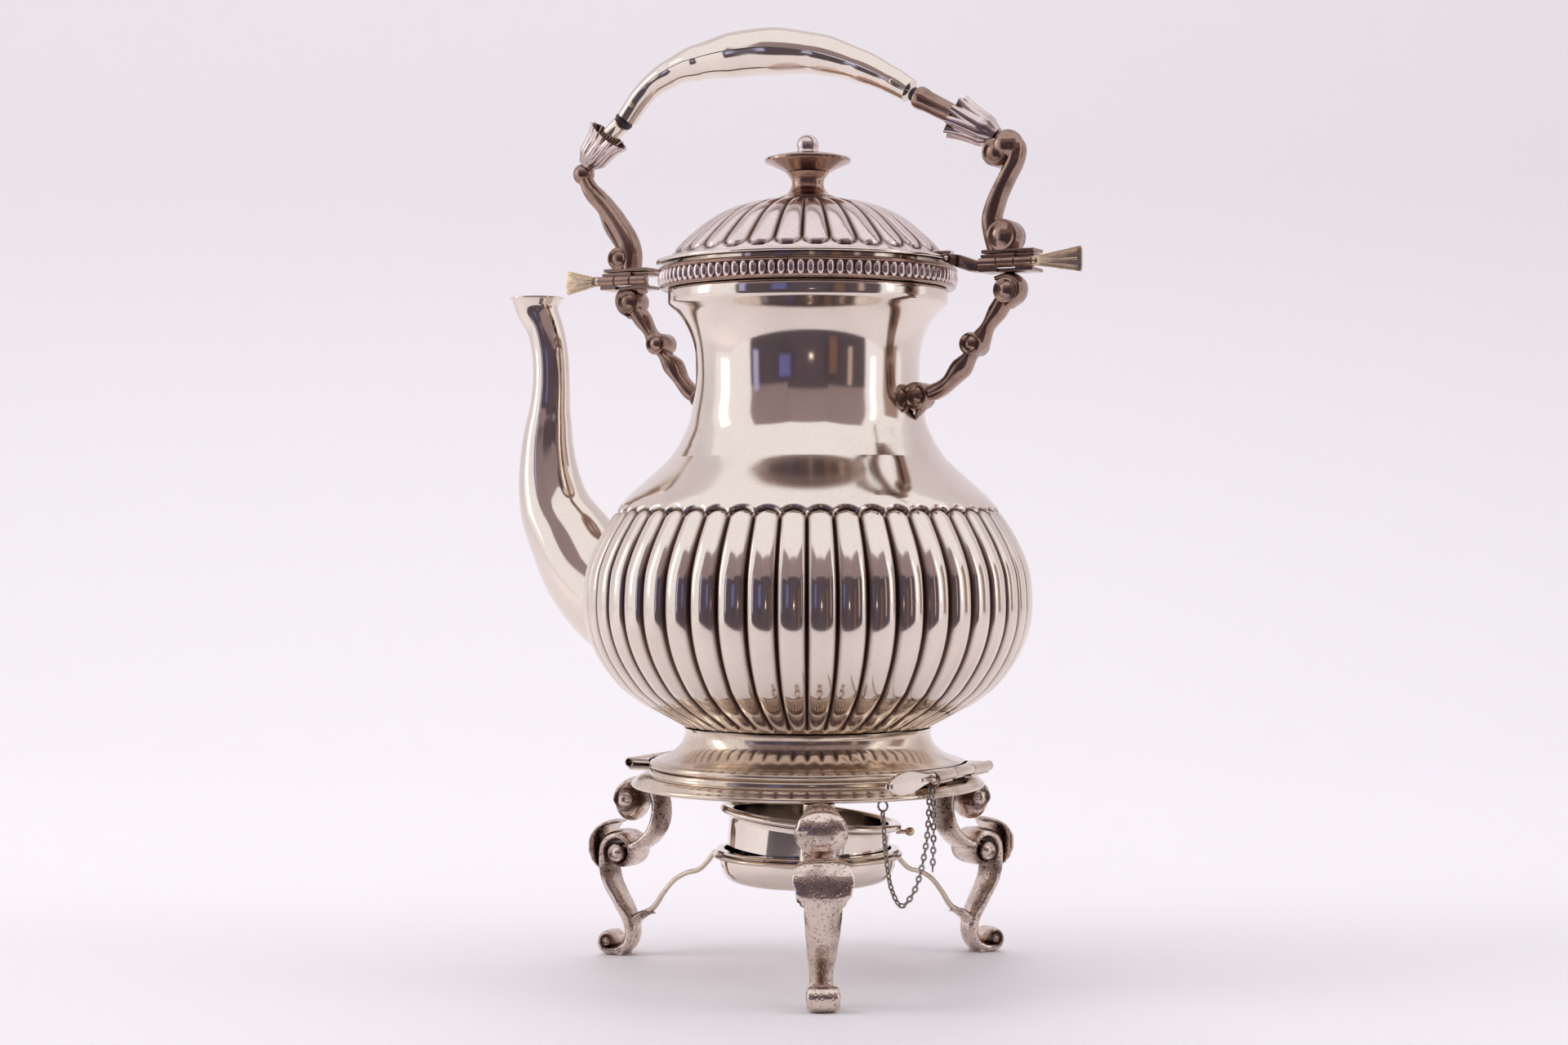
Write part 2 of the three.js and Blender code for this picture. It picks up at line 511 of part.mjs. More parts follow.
add('kettle_bowl', kettleBowl(), 'silver');
add('kettle_neck', kettleNeck(), 'silver');
add('kettle_rim_border', rimBorder(), 'silver');
add('kettle_foot', kettleFoot(), 'silver');
add('spout', spout(), 'silver');
add('bracket_spout', bracket(-1), 'dull');
add('bracket_back', bracket(1), 'dull');
add('kettle_hinge_leaf_spout', handleLeaf(HANDLE_HINGE.spout, true), 'dull');
add('kettle_hinge_leaf_back', handleLeaf(HANDLE_HINGE.back, true), 'dull');
add('foot_leaf_spout', kettleLeaf(-1), 'silver');
add('foot_leaf_release', kettleLeaf(1), 'silver');
add('lid_hinge_arm', lidHingeArm(), 'dull');
add('lid_hinge_pin', lidHingePin(), 'silver');

add('lid_rim', lidRim(), 'silver');
add('lid_dome', lidDome(), 'silver');
add('lid_hinge_leaf', lidLeaf(), 'silver');
add('finial_base', finialBase(), 'silver');
add('finial_disc', finialDisc(), 'silver');
add('finial_button', finialButton(), 'silver');

const [gripUpper, gripLower] = gripShells();
add('grip_upper', gripUpper, 'silver');
add('grip_lower', gripLower, 'silver');
add('grip_rivet_spout', rivet([-77.5, 344], 0.8, 5.4), 'brass');
add('grip_rivet_back', rivet([38.2, 345], 0.8, 5.8), 'brass');
add('arm_spout', armSpout(), 'dull');
add('arm_back', armBack(), 'dull');
add('calyx_spout', calyxSpout(), 'silver');
add('calyx_back', calyxBack(), 'silver');
add('ferrule_spout', ferruleSpout(), 'silver');
add('ferrule_back', cut(ferruleBack(), calyx([79.6, 321.2], [63.5, 330], 7.4, 0)), 'silver');
add('insulator_spout', insulatorSpout(), 'dark');
add('insulator_back', insulatorBack(), 'dark');
add('handle_hinge_leaf_spout', handleLeaf(HANDLE_HINGE.spout, false), 'dull');
add('handle_hinge_leaf_back', handleLeaf(HANDLE_HINGE.back, false), 'dull');
add('handle_pin_spout', handlePin(-1), 'brass');
add('handle_pin_back', handlePin(1), 'brass');

add('stand_ring', standRing(), 'silver');
add('stand_leaf_spout', standLeaf(-1), 'silver');
add('stand_leaf_release', standLeaf(1), 'silver');
for (const [place, angle] of Object.entries(LEG_ANGLES)) {
  add(`leg_${place}`, leg(angle), 'dull');
  add(`burner_wire_${place}`, brace(angle), 'brass');
}
add('burner_ring', cradle(0), 'brass');
add('pivot_pin', pivotPin(), 'silver');
add('chain_eye', chainEye(), 'silver');
add('chain_main', chain(CHAIN_MAIN, 20), 'silver');

add('release_pin', releasePin(), 'silver');
add('release_pin_ring', pinRing(), 'silver');
add('chain_tail', chain(CHAIN_TAIL, 5), 'silver');

add('burner_bowl', burnerBowl(), 'silver');
add('burner_sleeve', burnerSleeve(), 'silver');
add('burner_plate', burnerPlate(), 'silver');
add('wick_tube', wickTube(), 'brass');
add('wick', wick(), 'wick');
add('burner_knob', burnerKnob(), 'brass');

export default kettleAssembly;
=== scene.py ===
"""Visual model of a silver spirit kettle on its three-legged burner stand."""

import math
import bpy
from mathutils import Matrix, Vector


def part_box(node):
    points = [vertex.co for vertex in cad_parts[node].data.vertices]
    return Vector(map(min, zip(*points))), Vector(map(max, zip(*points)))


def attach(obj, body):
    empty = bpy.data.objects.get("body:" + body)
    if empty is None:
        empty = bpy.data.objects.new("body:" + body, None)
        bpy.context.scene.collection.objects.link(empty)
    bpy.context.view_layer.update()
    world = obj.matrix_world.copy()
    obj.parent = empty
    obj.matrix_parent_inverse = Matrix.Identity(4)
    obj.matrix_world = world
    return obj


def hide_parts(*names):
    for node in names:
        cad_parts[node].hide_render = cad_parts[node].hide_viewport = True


bl_info = {
    "name": "Spirit Kettle",
    "version": (1, 0, 0),
    "blender": (4, 5, 0),
    "location": "3D Viewport > Sidebar > Kettle",
    "description": "Builds the fine surface of a fluted silver kettle, its bail handle, stand and burner",
    "category": "Add Mesh",
}

import bmesh
import bpy
import numpy as np
from bpy.props import FloatProperty, FloatVectorProperty, IntProperty, PointerProperty
from mathutils import Matrix, Vector

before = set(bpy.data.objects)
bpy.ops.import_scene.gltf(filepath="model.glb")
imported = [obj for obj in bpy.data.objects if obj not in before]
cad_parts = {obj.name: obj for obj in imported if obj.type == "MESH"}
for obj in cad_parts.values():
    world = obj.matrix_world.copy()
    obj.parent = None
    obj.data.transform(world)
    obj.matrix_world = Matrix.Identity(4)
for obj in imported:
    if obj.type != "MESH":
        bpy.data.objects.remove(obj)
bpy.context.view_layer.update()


def middle(node):
    low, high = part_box(node)
    return [(a + b) / 2 for a, b in zip(low, high)]


AXIS = middle("kettle_neck")[0]  # the kettle's axis crosses the ground here
MM = 0.001
VIEW_TURN = 27.0  # degrees from the front to the viewer, round the kettle
EYE_OUT, EYE_SIDE, EYE_HEIGHT = 1.024, -0.0093, 0.1754  # the camera, from the axis on the ground
PIN_Y, PIN_Z = -6.5, 273.0  # line of the handle's hinge pins
FOOT_X, FOOT_Z = 65.6, 80.8  # line of the foot's hinge barrels
FOOT_HALF = 26.5  # half the length of a foot hinge


# ---------------------------------------------------------------- sizes and colours
def length(name, text, value):
    return FloatProperty(name=name, description=text, default=value, min=0.0, max=1.0, subtype="DISTANCE",
        unit="LENGTH", precision=5)


def colour(name, text, value):
    return FloatVectorProperty(name=name, description=text, default=value, size=3, min=0.0, max=1.0,
        subtype="COLOR")


class KettleSizes(bpy.types.PropertyGroup):
    """Sizes of the kettle's repeated work."""
    lobes: IntProperty(name="Bowl lobes", description="Convex flutes round the bowl", default=48, min=12,
        max=96)
    lobe_depth: FloatProperty(name="Lobe depth", description="Valley depth as a share of the radius",
        default=0.032, min=0.0, max=0.1)
    lobe_top: length("Lobe tops", "Height at which the round lobe tops begin", 0.1772)
    lobe_arch: length("Arch height", "Height of a lobe's round top", 0.0040)
    lid_lobes: IntProperty(name="Lid lobes", description="Lobes round the dome", default=30, min=8, max=64)
    rim_beads: IntProperty(name="Rim gadroons", description="Small lobes round the rim border", default=98,
        min=24, max=200)
    link_pitch: length("Link pitch", "Distance from one chain link to the next", 0.00205)
    link_wire: length("Link wire", "Wire thickness of a chain link", 0.00078)


class KettleFinish(bpy.types.PropertyGroup):
    """Colours of the kettle's metals."""
    silver: colour("Silver", "Polished silver", (0.78, 0.69, 0.605))
    cast: colour("Cast silver", "Silver of the cast scrolls", (0.35, 0.235, 0.185))
    # the tarnish colour also paints shade on the legs, the calyx cups and the paddle's tip
    film: colour("Tarnish", "Brown tarnish in grooves", (0.115, 0.058, 0.041))
    gilt: colour("Brown-gold", "Fan-headed pins and rivets", (0.70, 0.54, 0.38))
    ring: colour("Heat-break rings", "Dark rings at the grip's ends", (0.035, 0.025, 0.022))
    cotton: colour("Wick", "Cotton wick", (0.80, 0.76, 0.66))


class KettleStage(bpy.types.PropertyGroup):
    """The plain studio round the kettle."""
    floor: colour("Floor", "Pale floor", (0.86, 0.83, 0.845))
    air: colour("Air", "Pale light from all round", (0.935, 0.93, 0.985))
    room: colour("Room", "Dim room behind the viewer", (0.10, 0.078, 0.095))
    key: FloatProperty(name="Key light", description="Power of the large soft light", default=9.0, min=0.0,
        unit="POWER")
    fill: FloatProperty(name="Fill light", description="Power of the side light", default=4.0, min=0.0,
        unit="POWER")


# ---------------------------------------------------------------- curves
def spline(points, count):
    """count points at equal steps on the smooth curve through the given points."""
    p = np.array(points, float)
    ends = np.vstack([2 * p[0] - p[1], p, 2 * p[-1] - p[-2]])
    fine = []
    for i in range(len(p) - 1):
        a, b, c, d = ends[i:i + 4]
        t0 = 0.0
        t1 = t0 + max(np.linalg.norm(b - a), 1e-9) ** 0.5
        t2 = t1 + max(np.linalg.norm(c - b), 1e-9) ** 0.5
        t3 = t2 + max(np.linalg.norm(d - c), 1e-9) ** 0.5
        t = np.linspace(t1, t2, 24, endpoint=False)[:, None]
        ab = (t1 - t) / (t1 - t0) * a + (t - t0) / (t1 - t0) * b
        bc = (t2 - t) / (t2 - t1) * b + (t - t1) / (t2 - t1) * c
        cd = (t3 - t) / (t3 - t2) * c + (t - t2) / (t3 - t2) * d
        abc = (t2 - t) / (t2 - t0) * ab + (t - t0) / (t2 - t0) * bc
        bcd = (t3 - t) / (t3 - t1) * bc + (t - t1) / (t3 - t1) * cd
        fine.append((t2 - t) / (t2 - t1) * abc + (t - t1) / (t2 - t1) * bcd)
    fine = np.vstack(fine + [p[-1:]])
    return at_steps(fine, count)


def at_steps(points, count):
    p = np.array(points, float)
    run = np.concatenate([[0], np.cumsum(np.linalg.norm(np.diff(p, axis=0), axis=1))])
    s = np.linspace(0, run[-1], count)
    return np.stack([np.interp(s, run, p[:, k]) for k in range(p.shape[1])], axis=1)


def outline(*runs):
    """A profile from smooth runs with corners between them: each is (points, count).

    Every run after the first starts where the one before it ended, so its list leaves that point out."""
    whole, start = [], []
    for points, count in runs:
        points = start + points
        part = spline(points, count) if len(points) > 2 else at_steps(points, count)
        whole.append(part[1:] if start else part)
        start = points[-1:]
    return np.vstack(whole)


def spiral(centre, r0, r1, a0, a1, count):
    """Points of a scroll's curl round a centre, from radius r0 to r1 and angle a0 to a1."""
    t = np.linspace(0, 1, count)
    a = np.radians(a0 + (a1 - a0) * t)
    r = r0 + (r1 - r0) * t
    return [(centre[0] + q * math.cos(w), centre[1] + q * math.sin(w)) for q, w in zip(r, a)]


def along(table, t):
    return np.interp(t, [f for f, _ in table], [v for _, v in table])


def unit(value):
    """Holds values between 0 and 1."""
    return np.clip(value, 0, 1)


def headings(p):
    """Unit directions of travel at each point of a path."""
    d = np.gradient(p, axis=0)
    return d / np.linalg.norm(d, axis=1)[:, None]


def span(a, b):
    return (Vector(b) - Vector(a)).length


def smooth_along(table, t):
    """As along, with eased steps between the stations."""
    f = np.array([row[0] for row in table])
    v = np.array([row[1] for row in table])
    i = np.clip(np.searchsorted(f, t, side="right") - 1, 0, len(f) - 2)
    u = unit((t - f[i]) / (f[i + 1] - f[i]))
    return v[i] + (v[i + 1] - v[i]) * u * u * (3 - 2 * u)


def oval(count, power=2.0):
    """A unit section: power 2 is round, 4 a soft-edged bar."""
    a = np.linspace(0, 2 * math.pi, count, endpoint=False)
    c, s = np.cos(a), np.sin(a)
    return np.stack([np.sign(c) * np.abs(c) ** (2 / power), np.sign(s) * np.abs(s) ** (2 / power)], axis=1)


# ---------------------------------------------------------------- meshes
def shown(name, data):
    """A new object of the scene."""
    made = bpy.data.objects.new(name, data)
    bpy.context.scene.collection.objects.link(made)
    return made


def piece(name, verts, faces, crease=38.0):
    """A finished mesh object from points in millimetres round the kettle's axis."""
    mesh = bpy.data.meshes.new(name)
    v = np.array(verts, float) * MM
    v[:, 0] += AXIS
    mesh.from_pydata(v.tolist(), [], faces)
    bm = bmesh.new()
    bm.from_mesh(mesh)
    bmesh.ops.remove_doubles(bm, verts=bm.verts, dist=1e-7)
    bmesh.ops.recalc_face_normals(bm, faces=bm.faces)
    if bm.calc_volume(signed=True) < 0:
        bmesh.ops.reverse_faces(bm, faces=bm.faces)
    bm.to_mesh(mesh)
    bm.free()
    mesh.shade_smooth()
    mesh.set_sharp_from_angle(angle=math.radians(crease))
    return shown(name, mesh)


def skin(rings, last="cap"):
    """Points and faces of a tube through equal rings; last='join' closes it on the first ring."""
    rings = np.array(rings, float)
    n, m = rings.shape[:2]
    verts = rings.reshape(-1, 3).tolist()
    faces = []
    for i in range(n - 1 + (last == "join")):
        a, b = i * m, ((i + 1) % n) * m
        for k in range(m):
            j = (k + 1) % m
            faces.append((a + k, a + j, b + j, b + k))
    for ring in (0, n - 1) if last == "cap" else ():
        verts.append(rings[ring].mean(axis=0).tolist())
        c = len(verts) - 1
        for k in range(m):
            faces.append((ring * m + k, ring * m + (k + 1) % m, c))
    return verts, faces


def turned(name, profile, count, closed=False, crease=38.0, wave=None):
    """A solid of revolution; wave(angle, r, z) is added to the radius."""
    a = np.linspace(0, 2 * math.pi, count, endpoint=False)
    rings = []
    for r, z in profile:
        radius = np.full(count, max(r, 0.0)) + (wave(a, r, z) if wave else 0.0)
        rings.append(np.stack([radius * np.cos(a), radius * np.sin(a), np.full(count, z)], axis=1))
    verts, faces = skin(rings, last="join" if closed else "cap")
    return piece(name, verts, faces, crease)


def swept(path, half, wide, section, count, shift=0.0):
    """Points and faces of a bar bent along a path in the X-Z plane, as turned in its plane.

    half and wide are tables of half thickness and half width; shift moves the bar along Y."""
    p = spline(path, count)
    t = np.linspace(0, 1, count)
    d = headings(p)
    h, w = smooth_along(half, t), smooth_along(wide, t)
    rings = []
    for i in range(count):
        across = np.array([d[i, 1], 0, -d[i, 0]])
        mid = np.array([p[i, 0], shift, p[i, 1]])
        rings.append(mid + section[:, :1] * h[i] * across + section[:, 1:] * w[i] * np.array([0, 1, 0]))
    return skin(rings)


def joined(name, parts, crease=38.0, turn=0.0, mirror=False):
    """One object from several closed shapes, turned round the kettle's axis by turn degrees."""
    verts, faces = [], []
    for v, f in parts:
        base = len(verts)
        verts.extend(v)
        faces.extend(tuple(base + i for i in face) for face in f)
    v = np.array(verts, float)
    if mirror:
        v[:, 0] *= -1
    c, s = math.cos(math.radians(turn)), math.sin(math.radians(turn))
    v[:, :2] = v[:, :2] @ np.array([[c, s], [-s, c]])
    return piece(name, v, faces, crease)


def spun(profile, at, towards, count, closed=False, wave=None):
    """A small turned shape whose axis runs from one point to another; heights are along it."""
    a = np.linspace(0, 2 * math.pi, count, endpoint=False)
    axis = Vector(towards) - Vector(at)
    q = Vector((0, 0, 1)).rotation_difference(axis).to_matrix()
    rings = []
    for r, z in profile:
        radius = np.full(count, max(r, 0.0)) + (wave(a, r, z) if wave else 0.0)
        flat = np.stack([radius * np.cos(a), radius * np.sin(a), np.full(count, z)], axis=1)
        rings.append(flat @ np.array(q).T + np.array(at))
    return skin(rings, last="join" if closed else "cap")


def pin(at, towards, r, soft=0.25):
    """A round pin with softened ends."""
    l = span(at, towards)
    return spun([(r - soft, 0), (r - 0.3 * soft, 0.3 * soft), (r, soft), (r, l - soft),
        (r - 0.3 * soft, l - 0.3 * soft), (r - soft, l)], at, towards, 28)


def barrel(at, towards, r, bore, soft=0.2):
    """A bored hinge knuckle."""
    l = span(at, towards)
    return spun([(bore, 0), (r - soft, 0), (r, soft), (r, l - soft), (r - soft, l), (bore, l)], at, towards,
        28, closed=True)


def ball(at, r, squash=1.0, count=28):
    rows = [(r * math.cos(a), r * squash * math.sin(a)) for a in np.linspace(-1.55, 1.55, 15)]
    return spun(rows, at, (at[0], at[1], at[2] + 1), count)


def slab(points, low, high, soft=0.25, plane="XY"):
    """A flat plate with softened edges from a closed outline, thickness along the other axis."""
    p = np.array(points, float)
    if np.sum(p[:, 0] * np.roll(p[:, 1], -1) - np.roll(p[:, 0], -1) * p[:, 1]) < 0:
        p = p[::-1]
    before, after = np.roll(p, 1, axis=0), np.roll(p, -1, axis=0)
    d = (after - before) / np.linalg.norm(after - before, axis=1)[:, None]
    inward = np.stack([-d[:, 1], d[:, 0]], axis=1)
    rings = []
    for inset, z in ((soft, low), (0.3 * soft, low + 0.3 * soft), (0, low + soft), (0, high - soft),
            (0.3 * soft, high - 0.3 * soft), (soft, high)):
        q = p + inward * inset
        z = np.full(len(q), z)
        order = {"XY": (q[:, 0], q[:, 1], z), "XZ": (q[:, 0], z, q[:, 1]), "YZ": (z, q[:, 0], q[:, 1])}
        rings.append(np.stack(order[plane], axis=1))
    return skin(rings)


# ---------------------------------------------------------------- shader groups and metals
def group(name, inputs, outputs):
    tree = bpy.data.node_groups.new(name, "ShaderNodeTree")
    for label, kind, value in inputs:
        socket = tree.interface.new_socket(name=label, in_out="INPUT", socket_type=kind)
        socket.default_value = value
    for label, kind in outputs:
        tree.interface.new_socket(name=label, in_out="OUTPUT", socket_type=kind)
    return tree, tree.nodes.new("NodeGroupInput"), tree.nodes.new("NodeGroupOutput")


def node(tree, kind, links=(), **values):
    """Adds a node; links are (input, socket) pairs and values set its properties."""
    n = tree.nodes.new(kind)
    for key, value in values.items():
        setattr(n, key, value)
    for key, source in links:
        if isinstance(source, bpy.types.NodeSocket):
            tree.links.new(source, n.inputs[key])
        else:
            n.inputs[key].default_value = source
    return n


def value_of(tree, op, a, b=None):
    links = [(0, a)] + ([(1, b)] if b is not None else [])
    return node(tree, "ShaderNodeMath", links, operation=op).outputs[0]


def tarnish_group():
    """Brown film that gathers in grooves and in soft clouds, and leaves worn highs bright. The stored point
    value that drives the groove part also holds painted shade on the legs, the calyx cups and the paddle.
    """
    tree, gin, gout = group("Tarnish film and painted shade", [("Clean", "NodeSocketColor", (0.9, 0.87, 0.84, 1)),
        ("Film", "NodeSocketColor", (0.2, 0.1, 0.05, 1)), ("Clouds", "NodeSocketFloat", 0.2),
        ("Specks", "NodeSocketFloat", 0.1), ("Groove", "NodeSocketFloat", 0.9),
        ("Scale", "NodeSocketFloat", 30.0)], [("Colour", "NodeSocketColor"), ("Film", "NodeSocketFloat")])
    place = node(tree, "ShaderNodeTexCoord").outputs["Object"]
    cloud = node(tree, "ShaderNodeTexNoise", [("Vector", place), ("Scale", gin.outputs["Scale"]),
        ("Detail", 4.0), ("Roughness", 0.55)])
    fine = node(tree, "ShaderNodeTexNoise", [("Vector", place), ("Scale", 900.0), ("Detail", 3.0)])
    soft = node(tree, "ShaderNodeMapRange", [("Value", cloud.outputs[0]), ("From Min", 0.45),
        ("From Max", 0.75)], interpolation_type="SMOOTHSTEP")
    speck = node(tree, "ShaderNodeMapRange", [("Value", fine.outputs[0]), ("From Min", 0.56),
        ("From Max", 0.68)])
    # groove film from the lobes' depth, plus painted shade stored on the legs, the cups and the paddle
    cavity = node(tree, "ShaderNodeAttribute", attribute_name="cavity").outputs["Fac"]
    deep = node(tree, "ShaderNodeMapRange", [("Value", cavity), ("From Min", 0.16), ("From Max", 0.62)],
        interpolation_type="SMOOTHSTEP")
    a = value_of(tree, "MULTIPLY", soft.outputs[0], gin.outputs["Clouds"])
    b = value_of(tree, "MULTIPLY", speck.outputs[0], gin.outputs["Specks"])
    c = value_of(tree, "MULTIPLY", deep.outputs[0], gin.outputs["Groove"])
    film = node(tree, "ShaderNodeClamp", [(0, value_of(tree, "ADD", value_of(tree, "ADD", a, b), c))])
    mix = node(tree, "ShaderNodeMix", [(0, film.outputs[0]), (6, gin.outputs["Clean"]),
        (7, gin.outputs["Film"])], data_type="RGBA")
    tree.links.new(mix.outputs[2], gout.inputs["Colour"])
    tree.links.new(film.outputs[0], gout.inputs["Film"])
    return tree


def handling_group():
    """Height of fine polishing lines, small dents and pits."""
    tree, gin, gout = group("Handling marks", [("Lines", "NodeSocketFloat", 0.3),
        ("Dents", "NodeSocketFloat", 0.5), ("Pits", "NodeSocketFloat", 0.0)],
        [("Height", "NodeSocketFloat")])
    place = node(tree, "ShaderNodeTexCoord").outputs["Object"]
    stretch = node(tree, "ShaderNodeMapping", [("Vector", place), ("Rotation", (0.5, 0.3, 0.7)),
        ("Scale", (1.0, 14.0, 5.0))])
    lines = node(tree, "ShaderNodeTexNoise", [("Vector", stretch.outputs[0]), ("Scale", 320.0)])
    dents = node(tree, "ShaderNodeTexNoise", [("Vector", place), ("Scale", 34.0), ("Detail", 1.0)])
    pits = node(tree, "ShaderNodeTexVoronoi", [("Vector", place), ("Scale", 700.0)])
    hole = node(tree, "ShaderNodeMapRange", [("Value", pits.outputs["Distance"]), ("From Min", 0.1),
        ("From Max", 0.4), ("To Min", -1.0), ("To Max", 0.0)])
    a = value_of(tree, "MULTIPLY", lines.outputs[0], gin.outputs["Lines"])
    b = value_of(tree, "MULTIPLY", dents.outputs[0], gin.outputs["Dents"])
    c = value_of(tree, "MULTIPLY", hole.outputs[0], gin.outputs["Pits"])
    tree.links.new(value_of(tree, "ADD", value_of(tree, "ADD", a, b), c), gout.inputs["Height"])
    return tree


def metal(name, clean, film, rough, film_rough, clouds, specks, groove=0.9, scale=30.0, lines=0.02,
        dents=0.6, pits=0.0, bump=0.00025):
    mat = bpy.data.materials.new(name)
    mat.use_nodes = True
    tree = mat.node_tree
    tree.nodes.clear()
    out = tree.nodes.new("ShaderNodeOutputMaterial")
    t = node(tree, "ShaderNodeGroup", node_tree=bpy.data.node_groups["Tarnish film and painted shade"])
    for key, v in (("Clean", (*clean, 1)), ("Film", (*film, 1)), ("Clouds", clouds), ("Specks", specks),
            ("Groove", groove), ("Scale", scale)):
        t.inputs[key].default_value = v
    h = node(tree, "ShaderNodeGroup", node_tree=bpy.data.node_groups["Handling marks"])
    for key, v in (("Lines", lines), ("Dents", dents), ("Pits", pits)):
        h.inputs[key].default_value = v
    r = node(tree, "ShaderNodeMapRange", [("Value", t.outputs["Film"]), ("To Min", rough),
        ("To Max", film_rough)])
    b = node(tree, "ShaderNodeBump", [("Height", h.outputs["Height"]), ("Strength", 1.0),
        ("Distance", bump)])
    p = node(tree, "ShaderNodeBsdfPrincipled", [("Base Color", t.outputs["Colour"]),
        ("Roughness", r.outputs[0]), ("Metallic", 1.0), ("Normal", b.outputs[0])])
    tree.links.new(p.outputs[0], out.inputs[0])
    return mat


def plain(name, tone, rough, speckle=0.15, scale=300.0, bump=0.0002):
    """A non-metal with a fine mottle in its colour and surface."""
    mat = bpy.data.materials.new(name)
    mat.use_nodes = True
    tree = mat.node_tree
    tree.nodes.clear()
    out = tree.nodes.new("ShaderNodeOutputMaterial")
    place = node(tree, "ShaderNodeTexCoord").outputs["Object"]
    grain = node(tree, "ShaderNodeTexNoise", [("Vector", place), ("Scale", scale), ("Detail", 5.0)])
    dark = tuple(c * (1 - speckle) for c in tone) + (1,)
    mix = node(tree, "ShaderNodeMix", [(0, grain.outputs[0]), (6, dark), (7, (*tone, 1))], data_type="RGBA")
    b = node(tree, "ShaderNodeBump", [("Height", grain.outputs[0]), ("Distance", bump)])
    p = node(tree, "ShaderNodeBsdfPrincipled", [("Base Color", mix.outputs[2]), ("Roughness", rough),
        ("Normal", b.outputs[0])])
    tree.links.new(p.outputs[0], out.inputs[0])
    return mat


def finish(name):
    """The kettle's finishes, made once when first asked for."""
    if name in bpy.data.materials:
        return bpy.data.materials[name]
    if "Tarnish film and painted shade" not in bpy.data.node_groups:
        tarnish_group()
        handling_group()
    tone = bpy.context.scene.kettle_finish
    film = tuple(tone.film)
    recipes = {"polished silver": lambda: metal(name, tone.silver, film, 0.085, 0.3, 0.10, 0.05),
        "fluted silver": lambda: metal(name, tone.silver, film, 0.10, 0.35, 0.10, 0.06, 1.0),
        "lid silver": lambda: metal(name, (0.75, 0.635, 0.605), film, 0.16, 0.35, 0.26, 0.12, 1.0),
        "worn silver": lambda: metal(name, (0.72, 0.605, 0.49), film, 0.13, 0.35, 0.40, 0.16, 0.9, 45.0),
        # finial silver: a darker brown silver matched to the disc's shaded underside, so besides tarnish it
        # paints that shade on the stem and the disc
        "finial silver": lambda: metal(name, (0.46, 0.32, 0.245), film, 0.15, 0.35, 0.4, 0.15, 0.9, 60.0),
        "dark links": lambda: metal(name, (0.36, 0.31, 0.28), film, 0.2, 0.4, 0.3, 0.2),
        "cast silver": lambda: metal(name, tone.cast, film, 0.17, 0.42, 0.55, 0.30, 0.9, 120.0, 0.04, 0.9),
        "leg silver": lambda: metal(name, (0.73, 0.61, 0.53), film, 0.15, 0.5, 0.55, 0.55, 0.9, 90.0, 0.04,
        0.9, 0.25), "brown-gold": lambda: metal(name, tone.gilt, film, 0.26, 0.5, 0.30, 0.30, 0.9, 260.0,
        0.08), "lining silver": lambda: metal(name, (0.66, 0.61, 0.56), film, 0.3, 0.5, 0.5, 0.3),
        "heat-break ring": lambda: plain(name, tone.ring, 0.42), "cotton wick": lambda: plain(name,
        tone.cotton, 0.95, 0.4, 1400.0, 0.0008),}
    return recipes[name]()


def place(obj, body, look, *nodes):
    """Gives a piece its metal and its body, and lets it stand for its CAD nodes."""
    if not obj.data.materials:
        obj.data.materials.append(finish(look))
    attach(obj, body)
    if nodes:
        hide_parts(*nodes)
    return obj


# ---------------------------------------------------------------- repeating work as node trees
class Tree:
    """Builds a Geometry Nodes tree whose inputs are named sizes."""

    def __init__(self, name, inputs):
        self.tree = bpy.data.node_groups.new(name, "GeometryNodeTree")
        face = self.tree.interface
        face.new_socket(name="Geometry", in_out="INPUT", socket_type="NodeSocketGeometry")
        self.keys = {}
        for label, kind in inputs + [("Material", "Material")]:
            made = face.new_socket(name=label, in_out="INPUT", socket_type="NodeSocket" + kind)
            self.keys[label] = made.identifier
        face.new_socket(name="Geometry", in_out="OUTPUT", socket_type="NodeSocketGeometry")
        self.gin = self.tree.nodes.new("NodeGroupInput")
        self.gout = self.tree.nodes.new("NodeGroupOutput")

    def add(self, kind, links=(), **values):
        return node(self.tree, kind, links, **values)

    def math(self, op, a, b=None):
        return value_of(self.tree, op, a, b)

    def times(self, a, b):
        return self.math("MULTIPLY", a, b)

    def plus(self, a, b):
        return self.math("ADD", a, b)

    def minus(self, a, b):
        return self.math("SUBTRACT", a, b)

    def take(self, label):
        return self.gin.outputs[label]

    def end(self, geometry):
        real = self.add("GeometryNodeRealizeInstances", [("Geometry", geometry)])
        look = self.add("GeometryNodeSetMaterial", [("Geometry", real.outputs[0]),
            ("Material", self.take("Material"))])
        self.tree.links.new(look.outputs[0], self.gout.inputs[0])


def worked(obj, tree, look, crease, **sizes):
    """Runs a tree on an object and keeps the result as its plain mesh."""
    mod = obj.modifiers.new("Work", "NODES")
    mod.node_group = tree.tree
    mod[tree.keys["Material"]] = finish(look)
    for label, value in sizes.items():
        mod[tree.keys[label.replace("_", " ")]] = value
    graph = bpy.context.evaluated_depsgraph_get()
    mesh = bpy.data.meshes.new_from_object(obj.evaluated_get(graph), depsgraph=graph)
    obj.modifiers.clear()
    if obj.type == "CURVE":
        name = obj.name
        bpy.data.objects.remove(obj)
        obj = shown(name, mesh)
    else:
        obj.data = mesh
    obj.data.shade_smooth()
    obj.data.set_sharp_from_angle(angle=math.radians(crease))
    return obj


